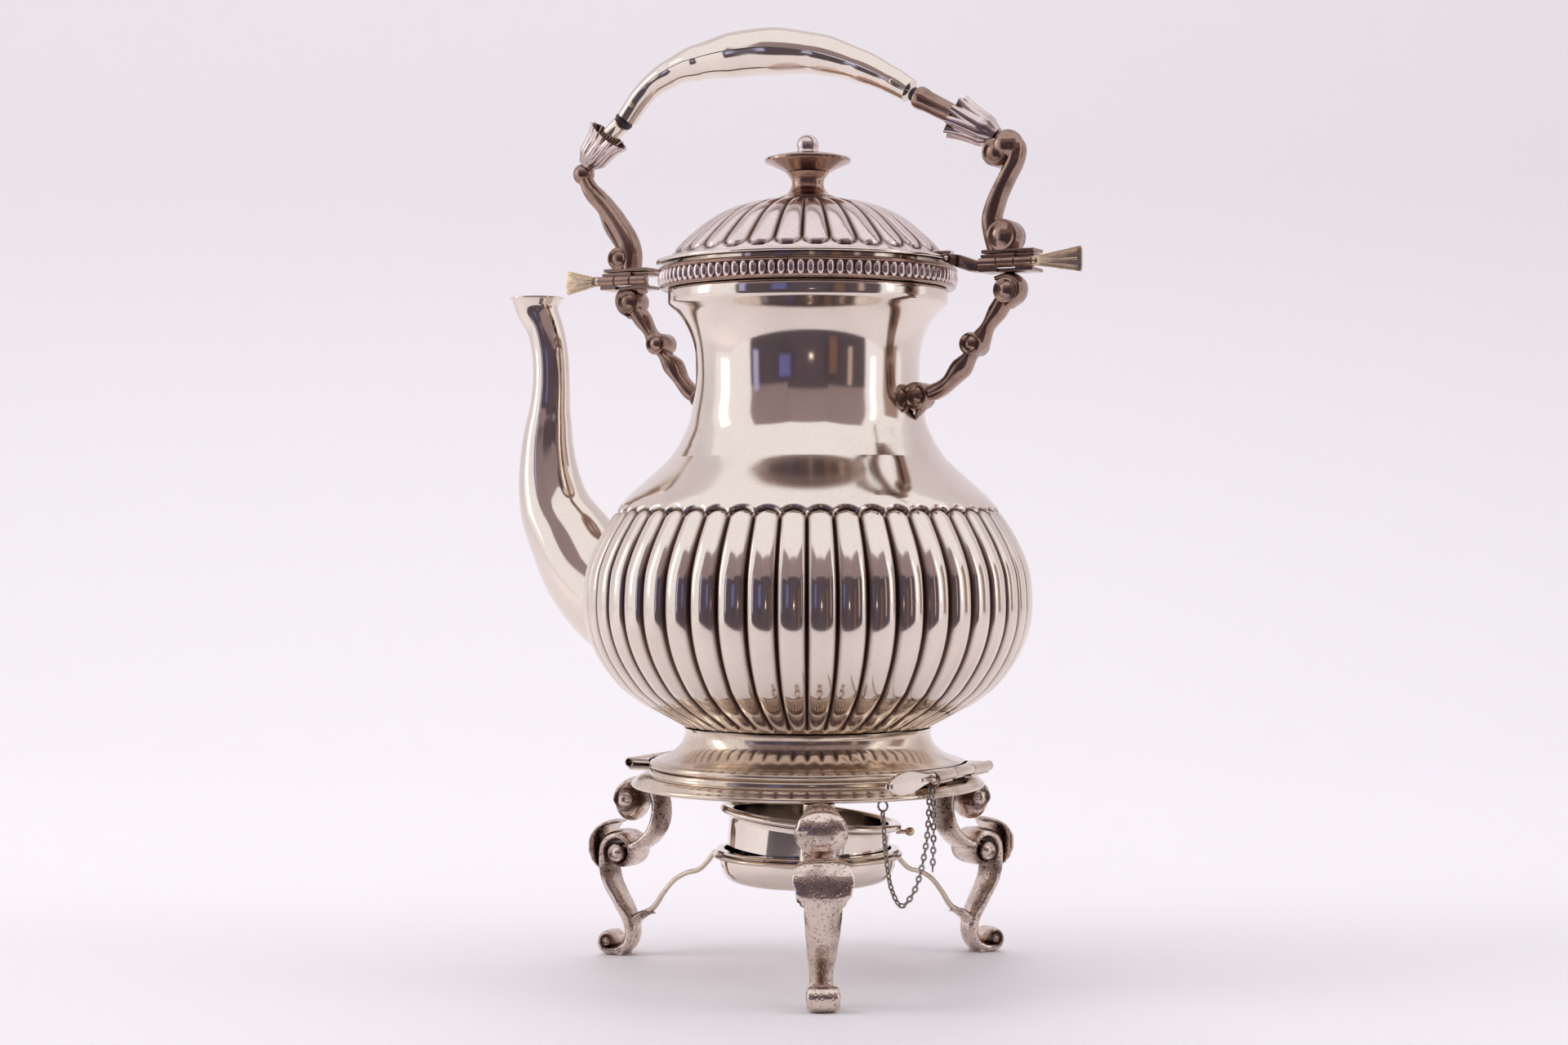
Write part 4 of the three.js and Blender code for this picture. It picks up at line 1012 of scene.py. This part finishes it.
class KETTLE_OT_arms(bpy.types.Operator):
    """Scroll the two cast arms of the handle and their calyx cups"""
    bl_idname = "kettle.arms"
    bl_label = "Handle Arms"

    def execute(self, context):
        band = swept([(-79.5, 277.4), (-79.6, 283), (-81.6, 289.6), (-86.2, 297), (-92.4, 304.6),
            (-99, 311.4), (-102, 317)], [(0, 3.0), (0.22, 4.2), (0.5, 3.9), (0.75, 3.7), (1, 2.6)],
            [(0, 5), (0.3, 4.8), (0.7, 4.4), (1, 3.4)], oval(28, 2.5), 70)
        back_leaf = swept([(-84.5, 287), (-88.4, 293), (-92, 299), (-97, 305.5)],
            [(0, 1.6), (0.4, 2.2), (1, 0.5)], [(0, 3.6), (0.5, 3.4), (1, 1)], oval(20, 2.2), 30)
        parts = [band, back_leaf, boss(-83.9, 282.3, 4.7, 5.0), ball((-102.5, 0, 318), 4.4),
            slab([(-90, -5), (-70, -5), (-70, 5), (-90, 5)], 276.8, 278.2, 0.4)]
        place(joined("arm_scroll_spout", parts), "handle", "cast silver", "arm_spout")
        band = swept([(80.5, 277.4), (78.6, 284), (77.9, 290), (80, 297.4), (84, 305.4), (87.4, 312),
            (88, 317.4), (84, 321)], [(0, 3.4), (0.3, 3.6), (0.6, 3.1), (0.85, 3.2), (1, 2.4)],
            [(0, 5), (0.4, 4.6), (0.8, 4.4), (1, 3.6)], oval(28, 2.5), 70)
        parts = [band, boss(83.6, 283.2, 6.4, 5.0), boss(80.6, 315.0, 5.4, 4.8),
            ball((84.2, 0, 317.6), 6.2), slab([(75.5, -5), (96.5, -5), (96.5, 5), (75.5, 5)], 276.8, 278.2,
            0.4)]
        place(joined("arm_scroll_back", parts), "handle", "cast silver", "arm_back")
        for name, base, rim, r, petals, spread in (("spout", (-101.2, 0, 321.6), (-90.6, 0, 333.0), 8.7, 14,
                0.3), ("back", (79.8, 0, 321.1), (63.5, 0, 330), 8.1, 10, 0.5)):
            cup = joined("cup_" + name, calyx_parts(base, rim, r, petals, spread))
            co = points_of(cup) - np.array(base) - np.array([AXIS / MM, 0, 0])
            axis = np.array(rim, float) - np.array(base)
            up = co @ axis / (axis @ axis)
            off = np.linalg.norm(co - up[:, None] * axis, axis=1)
            # painted shade on the cup's inner wall, round the ferrule
            shade_inside_cup = unit((np.interp(up, [0.35, 0.5, 0.75, 1], [4, 5.9, 6.7, r - 0.4]) - off) / 0.3)
            shade_inside_cup *= up > 0.38
            # darker towards the cup's base, evenly all round, fading out halfway up
            grooves = 0.3 * unit((0.9 - up) / 0.3) * unit((0.5 - up) / 0.2)
            store(cup, "cavity", np.maximum(shade_inside_cup, grooves))
            place(cup, "handle", "lid silver", "calyx_" + name)
        return {"FINISHED"}


# ---------------------------------------------------------------- stand
class KETTLE_OT_stand_ring(bpy.types.Operator):
    """Turn the stepped ring of the stand"""
    bl_idname = "kettle.stand_ring"
    bl_label = "Stand Ring"

    def execute(self, context):
        rows = outline(([(50, 72.5), (68.2, 72.5)], 4), ([(69, 73), (69, 74), (68.2, 74.6)], 8),
            ([(66.6, 76.2), (64.4, 77), (62.6, 77.1)], 10), ([(61.7, 77.4), (61.5, 78.9), (61, 79.5)], 8),
            ([(52.4, 79.5)], 4), ([(50.6, 78.4), (50, 77)], 6), ([(50, 72.5)], 3))
        place(turned("stand_band", rows[:-1], 192, closed=True), "stand", "worn silver", "stand_ring")
        return {"FINISHED"}


def leg_parts():
    """Two scrolled bands, volute buttons, a spur and a curled foot, along +X."""
    flat = oval(28, 2.4)
    upper = spiral((77.4, 64), 1.4, 6.3, -290, 95, 26) + [(69.4, 69.8), (66.2, 63.5), (66.2, 56),
        (69.4, 49.4), (75, 45.2), (79.6, 44.6), (82.4, 42.2)]
    lower = spiral((82.2, 42), 1.8, 7.9, 470, 15, 30) + [(90.2, 36.5), (88.6, 29.5), (84.2, 22),
        (80.4, 15.4), (79, 9.6), (80.6, 4.6), (84, 2.1)]
    lower += spiral((88.4, 5.7), 3.9, 1.0, -80, 330, 20)
    parts = [swept(upper, [(0, 1.2), (0.25, 2.0), (0.4, 2.6), (0.6, 3.1), (0.85, 2.8), (1, 1.4)],
        [(0, 5.6), (0.135, 7.0), (0.18, 8.6), (0.23, 9.6), (0.28, 8.6), (0.34, 6.6), (0.4, 5.6), (0.55, 6),
        (0.75, 7.2), (0.9, 8.4), (1, 7)], oval(28), 150), swept(lower, [(0, 1.2), (0.2, 1.8), (0.36, 2.3),
        (0.5, 2.7), (0.66, 2.9), (0.8, 2.2), (1, 1.1)], [(0, 7), (0.2, 8.4), (0.27, 8.4), (0.32, 8),
        (0.37, 7.4), (0.43, 6.9), (0.497, 6.4), (0.58, 5.6), (0.68, 4.4), (0.755, 4.5), (0.8, 5.2),
        (0.86, 6.1), (0.93, 5.7), (1, 4)], flat, 190), swept([(83.6, 54.2), (88.8, 53.2), (92.4, 49),
        (93.8, 43.6), (94, 38.6), (93.4, 34.2)], [(0, 0.5), (0.15, 1.1), (0.7, 1.1), (1, 0.4)],
        [(0, 3), (0.12, 7), (0.2, 9.2), (0.3, 10.6), (0.48, 11.2), (0.66, 10.2), (0.8, 8), (0.9, 5.6),
        (0.97, 3.2), (1, 1.2)], oval(28, 2.2), 60)]
    head, faces = ball((0, 0, 0), 1.0)
    head = ([(79.0 + 6.2 * v[0], 9.9 * v[1], 63.0 + 8.5 * v[2]) for v in head], faces)
    spur = swept([(79, 12), (77, 15), (73, 17.4), (69, 17.8)], [(0, 2.2), (0.5, 1.8), (1, 0.4)],
        [(0, 4), (0.5, 3.2), (1, 0.8)], oval(20, 2.2), 30)
    root = swept([(66.6, 60), (66.4, 68), (66.6, 72.3)], [(0, 2), (1, 3.2)], [(0, 5.4), (1, 5.8)], flat, 16)
    parts += [spur, root, head, boss(77.4, 64, 3.0, 8.9, 0.45), boss(82.2, 42, 3.9, 9.0, 0.45),
        boss(88.4, 5.7, 2.0, 6.0, 0.45)]
    parts.append(slab([(82, -4.2), (88.5, -4.2), (88.5, 4.2), (82, 4.2)], 0.02, 2.2, 0.4))
    return parts


LEGS = (("spout", 180), ("front", -60), ("rear", 60))


class KETTLE_OT_legs(bpy.types.Operator):
    """Cast the three scrolled legs and the wires that hold the burner ring"""
    bl_idname = "kettle.legs"
    bl_label = "Legs and Wires"

    def execute(self, context):
        wire = [(78.4, 15.6), (70, 19.5), (65, 26), (60, 31.5), (54.5, 34.7), (48.8, 36.4), (44.6, 40),
            (41.2, 44.0), (37, 45.5)]
        for name, angle in LEGS:
            leg = joined("scroll_leg_" + name, leg_parts(), turn=angle)
            a = math.radians(angle)
            co = points_of(leg)
            out = (co[:, 0] - AXIS / MM) * math.cos(a) + co[:, 1] * math.sin(a)
            # Painted shade, laid on with the film colour: rings in the three volutes with their centres
            # left bright, the inner shank that faces the kettle's axis, and the band under the flap.
            deep = np.zeros(len(co))
            for u, z, r in ((77.4, 64, 6.6), (82.2, 42, 8), (88.4, 5.7, 4)):
                d = np.hypot(out - u, co[:, 2] - z) / r
                deep = np.maximum(deep, 0.52 * unit((0.95 - d) / 0.25) * unit((d - 0.3) / 0.15))
            # painted shade on the inner shank, facing the kettle's axis
            deep = np.maximum(deep, 0.45 * unit((69 - out) / 4))
            # painted shade under the flap
            shade_under_flap = unit(1 - np.abs(co[:, 2] - 34) / 9) * unit((92.4 - out) / 1.5) * (out > 84)
            deep = np.maximum(deep, 0.5 * shade_under_flap)
            store(leg, "cavity", deep)
            place(leg, "stand", "leg silver", "leg_" + name)
            bar = swept(wire, [(0, 1.25), (0.5, 1), (1, 1)], [(0, 1.25), (0.5, 1), (1, 1.3)], oval(16), 60)
            place(joined("wire_" + name, [bar], turn=angle), "stand", "worn silver", "burner_wire_" + name)
        rows = outline(([(35, 44.8), (36.6, 44.7)], 3), ([(37.1, 45.5), (36.6, 46.3)], 7),
            ([(35, 46.4)], 3))
        place(turned("burner_hoop", rows, 128, closed=True), "stand", "worn silver", "burner_ring")
        return {"FINISHED"}


# ---------------------------------------------------------------- burner
class KETTLE_OT_burner(bpy.types.Operator):
    """Turn the spirit burner: bowl, askew sleeve with rolled lip, plate, tube, wick and knob"""
    bl_idname = "kettle.burner"
    bl_label = "Burner"

    def execute(self, context):
        rows = outline(([(1, 34.5), (20.5, 34.5)], 4), ([(28, 34.9), (32.2, 37), (33.9, 40.6), (34.3, 44),
            (34.1, 46.6)], 24), ([(35.5, 46.75), (36.1, 47.3), (35.6, 48)], 8), ([(32.8, 48.1)], 3),
            ([(32, 42), (28, 37.6), (1, 36)], 16))
        place(turned("burner_cup", rows, 128), "burner", "polished silver", "burner_bowl")
        up = outline(([(31.6, 46.6), (31.7, 57.8)], 8), ([(32.4, 58.6), (34.4, 58.8), (35.7, 59.6),
            (35.7, 60.8), (34.6, 61.6), (32.6, 61.5), (30.7, 60.6)], 22), ([(30.6, 46.6)], 8))
        sleeve = turned("burner_collar", up, 128, closed=True)
        a = math.radians(VIEW_TURN)
        lean = Matrix.Rotation(-math.radians(6), 4, Vector((math.sin(a), -math.cos(a), 0)))
        at = Matrix.Translation((AXIS, 0, 0.0485))
        sleeve.data.transform(at @ lean @ at.inverted())
        place(sleeve, "burner", "polished silver", "burner_sleeve")
        place(turned("burner_cover", outline(([(5, 49.2), (28.5, 49.2)], 4),
            ([(29.2, 49.7), (28.5, 50.2)], 5), ([(8, 50.4), (5, 51)], 8)), 96, closed=True), "burner",
            "lining silver", "burner_plate")
        place(turned("wick_holder", outline(([(3.4, 38), (4.6, 38)], 2),
            ([(4.6, 55.4), (4.9, 55.8), (4.6, 56.2)], 12), ([(3.4, 56.2)], 2)), 48, closed=True), "burner",
            "brown-gold", "wick_tube")
        place(turned("cotton_wick", outline(([(0.3, 39), (3, 39)], 2),
            ([(3.1, 50), (3, 56.6), (2.2, 57.4), (0.3, 57.5)], 20)), 40,
            wave=lambda a, r, z: 0.12 * np.cos(a * 9)), "burner", "cotton wick", "wick")
        parts = [ball((34.6, 20.4, 54), 1.9, 0.9, 24), pin((30, 17.4, 54), (34, 20, 54), 0.8)]
        place(joined("burner_button", parts), "burner", "brown-gold", "burner_knob")
        return {"FINISHED"}


# ---------------------------------------------------------------- release pin and chain
MAIN_ROUTE = [(46.5, -30.5, 66.4), (47.6, -30.3, 52), (50, -29.9, 38), (53.6, -29.4, 32.4),
    (58.5, -28.8, 38), (63.2, -28.2, 56), (64.6, -28, 76)]
TAIL_ROUTE = [(66.6, -29.6, 75.9), (67, -30, 66), (67, -30.2, 56), (66.6, -30, 47.5)]


def wire_ring(at, r, wire, around):
    """A round wire ring whose axis is +Y (around 'Y') or +X."""
    rows = [(r + wire * math.cos(a), wire * math.sin(a)) for a in np.linspace(0, 2 * math.pi, 14,
        endpoint=False)]
    step = {"Y": (0, 1, 0), "X": (1, 0, 0)}[around]
    return spun(rows, at, tuple(a + s for a, s in zip(at, step)), 40, closed=True)


class KETTLE_OT_release_pin(bpy.types.Operator):
    """Forge the release pin with its teardrop paddle and split ring"""
    bl_idname = "kettle.release_pin"
    bl_label = "Release Pin"

    def execute(self, context):
        x, z, half = FOOT_X, FOOT_Z, FOOT_HALF
        t = np.linspace(0, 1, 26)
        w = 1.45 + 2.75 * np.sin(math.pi * t ** 1.35) ** 1.1
        w[-1] = 0.9
        y = -half - 3 - 38.5 * t
        shape = list(zip(y, z + w)) + list(zip(y[::-1], z - w[::-1]))
        parts = [slab(shape, x - 0.85, x + 0.85, 0.45, "YZ"), pin((x, half - 2, z), (x, -half - 4, z), 1.1,
            0.4), barrel((x, -half - 1.1, z), (x, -half - 3.4, z), 1.8, 0.6, 0.5),
            spun([(0.2, 0), (0.75, 0), (0.95, 0.12), (0.2, 0.16)], (x + 0.86, -66, z), (x + 2, -66, z), 20)]
        paddle = joined("paddle_pin", parts)
        # the small disc near the paddle's tip is darkened all over: painted shade standing for a hole there
        co = points_of(paddle) - np.array([AXIS / MM + x, -66, z])
        store(paddle, "cavity", (np.hypot(co[:, 1], co[:, 2]) < 0.97) & (co[:, 0] > 0.855))
        place(paddle, "locking_pin", "polished silver", "release_pin")
        place(joined("paddle_ring", [wire_ring((x, -half - 0.7, z - 1.0), 2.6, 0.42, "Y")]), "locking_pin",
            "cast silver", "release_pin_ring")
        return {"FINISHED"}


class KETTLE_OT_chain(bpy.types.Operator):
    """Link the safety chain and its loose tail"""
    bl_idname = "kettle.chain"
    bl_label = "Chain"

    def execute(self, context):
        sizes = context.scene.kettle_sizes
        tree = link_tree()
        for name, route, body, cad in (("chain_links", MAIN_ROUTE, "stand", "chain_main"),
                ("chain_links_tail", TAIL_ROUTE, "locking_pin", "chain_tail")):
            points = spline(route, 60) * MM + np.array([AXIS, 0, 0])
            curve = bpy.data.curves.new(name, "CURVE")
            curve.dimensions = "3D"
            line = curve.splines.new("POLY")
            line.points.add(len(points) - 1)
            line.points.foreach_set("co", np.hstack([points, np.ones((len(points), 1))]).ravel())
            links = worked(shown(name, curve), tree, "dark links", 60, Pitch=sizes.link_pitch,
                Wire=sizes.link_wire)
            place(links, body, "dark links", cad)
        place(joined("chain_loop", [wire_ring((46.5, -30.5, 69.5), 1.9, 0.42, "Y")]), "stand", "dark links",
            "chain_eye")
        return {"FINISHED"}


# ---------------------------------------------------------------- stage
def paper(name, tone, rough):
    """A plain material and its shader."""
    mat = bpy.data.materials.new(name)
    mat.use_nodes = True
    shader = mat.node_tree.nodes["Principled BSDF"]
    shader.inputs["Base Color"].default_value = (*tone, 1)
    shader.inputs["Roughness"].default_value = rough
    return mat, shader


def card(name, corners, tone, glow=0.0):
    """A plain panel of the studio that only shows in the silver."""
    mesh = bpy.data.meshes.new(name)
    mesh.from_pydata([tuple(c) for c in corners], [], [tuple(range(len(corners)))])
    panel = shown(name, mesh)
    mat, shader = paper(name, tone, 0.9)
    if glow:
        shader.inputs["Emission Color"].default_value = (*tone, 1)
        shader.inputs["Emission Strength"].default_value = glow
    mesh.materials.append(mat)
    panel.visible_camera = False


def towards_viewer(azimuth):
    """Unit steps away from the kettle at an azimuth, and to the right as seen from there."""
    a = math.radians(azimuth)
    return Vector((math.sin(a), -math.cos(a), 0)), Vector((math.cos(a), math.sin(a), 0))


def facing(azimuth, distance, low, high, half):
    """Corners of an upright panel at an azimuth round the kettle, facing it."""
    out, side = towards_viewer(azimuth)
    return [out * distance + side * s * half + Vector((0, 0, h)) for s, h in ((-1, low), (1, low),
        (1, high), (-1, high))]


def lamp(name, azimuth, distance, height, size, power, tone):
    light = bpy.data.lights.new(name, "AREA")
    light.shape, light.size, light.energy, light.color = "SQUARE", size, power, tone
    obj = shown(name, light)
    obj.location = towards_viewer(azimuth)[0] * distance + Vector((0, 0, height))
    obj.rotation_euler = (Vector((0, 0, 0.17)) - obj.location).to_track_quat("-Z", "Y").to_euler()
    obj.visible_glossy = False


class KETTLE_OT_stage(bpy.types.Operator):
    """Set the pale floor, backdrop, soft lights and the camera"""
    bl_idname = "kettle.stage"
    bl_label = "Stage"

    def execute(self, context):
        look = context.scene.kettle_stage
        out, side = towards_viewer(VIEW_TURN)
        bend = [(0.42, 0.0), (-0.9, 0.0)] + [(-0.9 - 0.5 * math.sin(a), 0.5 - 0.5 * math.cos(a))
            for a in np.linspace(0.1, math.pi / 2, 12)] + [(-1.4, 3.2)]
        mesh = bpy.data.meshes.new("studio_sweep")
        verts = [tuple(out * d + side * s * 4 + Vector((0, 0, h))) for d, h in bend for s in (-1, 1)]
        mesh.from_pydata(verts, [], [(2 * i, 2 * i + 1, 2 * i + 3, 2 * i + 2)
            for i in range(len(bend) - 1)])
        mesh.shade_smooth()
        floor = shown("studio_sweep", mesh)
        mesh.materials.append(paper("studio paper", look.floor, 0.6)[0])
        for name, azimuth, top in (("room_left", -13, 0.80), ("room_middle", 27, 1.0),
                ("room_right", 67, 0.88)):
            card(name, facing(azimuth, 2.2, -1.3, top, 0.81), look.room)
            card(name + "_upper", facing(azimuth, 2.3, top, 2.3, 0.84), (0.36, 0.29, 0.29))
        card("blue_glass", facing(4, 2.12, 0.12, 0.58, 0.22), (0.14, 0.15, 0.36), 0.12)
        card("brown_door", facing(52, 2.12, -0.6, 0.5, 0.16), (0.20, 0.12, 0.09))
        card("window_left", facing(-27, 2.1, 0.0, 0.9, 0.10), (0.42, 0.44, 0.66), 0.25)
        card("window_right", facing(70, 2.1, -0.1, 0.8, 0.08), (0.55, 0.42, 0.36), 0.2)
        card("lamp_spot", facing(30, 2.05, 0.12, 0.2, 0.05), (1.0, 0.85, 0.7), 2.5)
        card("soft_left", facing(-66, 1.7, 0.25, 1.3, 0.16), (1.0, 0.98, 0.97), 1.7)
        card("soft_right", facing(96, 1.8, 0.2, 1.3, 0.07), (1.0, 0.98, 0.97), 1.4)
        card("brown_side", facing(118, 1.9, -0.2, 1.0, 0.30), (0.46, 0.34, 0.28))
        lamp("key_light", -50, 1.7, 1.5, 0.8, look.key, (1.0, 0.98, 0.96))
        lamp("fill_light", 105, 1.6, 1.2, 0.8, look.fill, (0.96, 0.96, 1.0))
        lamp("wall_light", 207, 0.9, 1.6, 0.9, look.fill, (0.97, 0.97, 1.0))
        world = bpy.data.worlds.new("studio_air")
        world.use_nodes = True
        world.node_tree.nodes["Background"].inputs[0].default_value = (*look.air, 1)
        world.node_tree.nodes["Background"].inputs[1].default_value = 1.12
        context.scene.world = world
        cam = bpy.data.cameras.new("view")
        cam.lens, cam.sensor_width, cam.clip_start = 60.0, 36.0, 0.05
        eye = shown("view", cam)
        eye.location = Vector((AXIS, 0, 0)) + out * EYE_OUT + side * EYE_SIDE + Vector((0, 0, EYE_HEIGHT))
        eye.rotation_euler = (math.radians(90), 0, math.radians(VIEW_TURN))
        context.scene.camera = eye
        context.scene.view_settings.view_transform = "Standard"
        return {"FINISHED"}


# ---------------------------------------------------------------- panel and registration
STEPS = (KETTLE_OT_stage, KETTLE_OT_body, KETTLE_OT_rim, KETTLE_OT_spout, KETTLE_OT_lid, KETTLE_OT_finial,
    KETTLE_OT_brackets, KETTLE_OT_handle_hinges, KETTLE_OT_lid_hinge, KETTLE_OT_foot_hinges, KETTLE_OT_grip,
    KETTLE_OT_arms, KETTLE_OT_stand_ring, KETTLE_OT_legs, KETTLE_OT_burner, KETTLE_OT_release_pin,
    KETTLE_OT_chain)


class KETTLE_PT_panel(bpy.types.Panel):
    """Lists the kettle's pieces and the sizes and colours they use"""
    bl_idname = "KETTLE_PT_panel"
    bl_label = "Spirit Kettle"
    bl_space_type = "VIEW_3D"
    bl_region_type = "UI"
    bl_category = "Kettle"

    def draw(self, context):
        layout = self.layout
        for sizes in (context.scene.kettle_sizes, context.scene.kettle_finish, context.scene.kettle_stage):
            box = layout.box()
            for key in sizes.__annotations__:
                box.prop(sizes, key)
        for step in STEPS:
            layout.operator(step.bl_idname)


CLASSES = (KettleSizes, KettleFinish, KettleStage) + STEPS + (KETTLE_PT_panel,)


def register():
    for cls in CLASSES:
        bpy.utils.register_class(cls)
    bpy.types.Scene.kettle_sizes = PointerProperty(type=KettleSizes)
    bpy.types.Scene.kettle_finish = PointerProperty(type=KettleFinish)
    bpy.types.Scene.kettle_stage = PointerProperty(type=KettleStage)


def unregister():
    del bpy.types.Scene.kettle_sizes, bpy.types.Scene.kettle_finish, bpy.types.Scene.kettle_stage
    for cls in reversed(CLASSES):
        bpy.utils.unregister_class(cls)


def main():
    register()
    for step in STEPS:
        area, name = step.bl_idname.split(".")
        getattr(getattr(bpy.ops, area), name)()


if __name__ == "__main__":
    main()
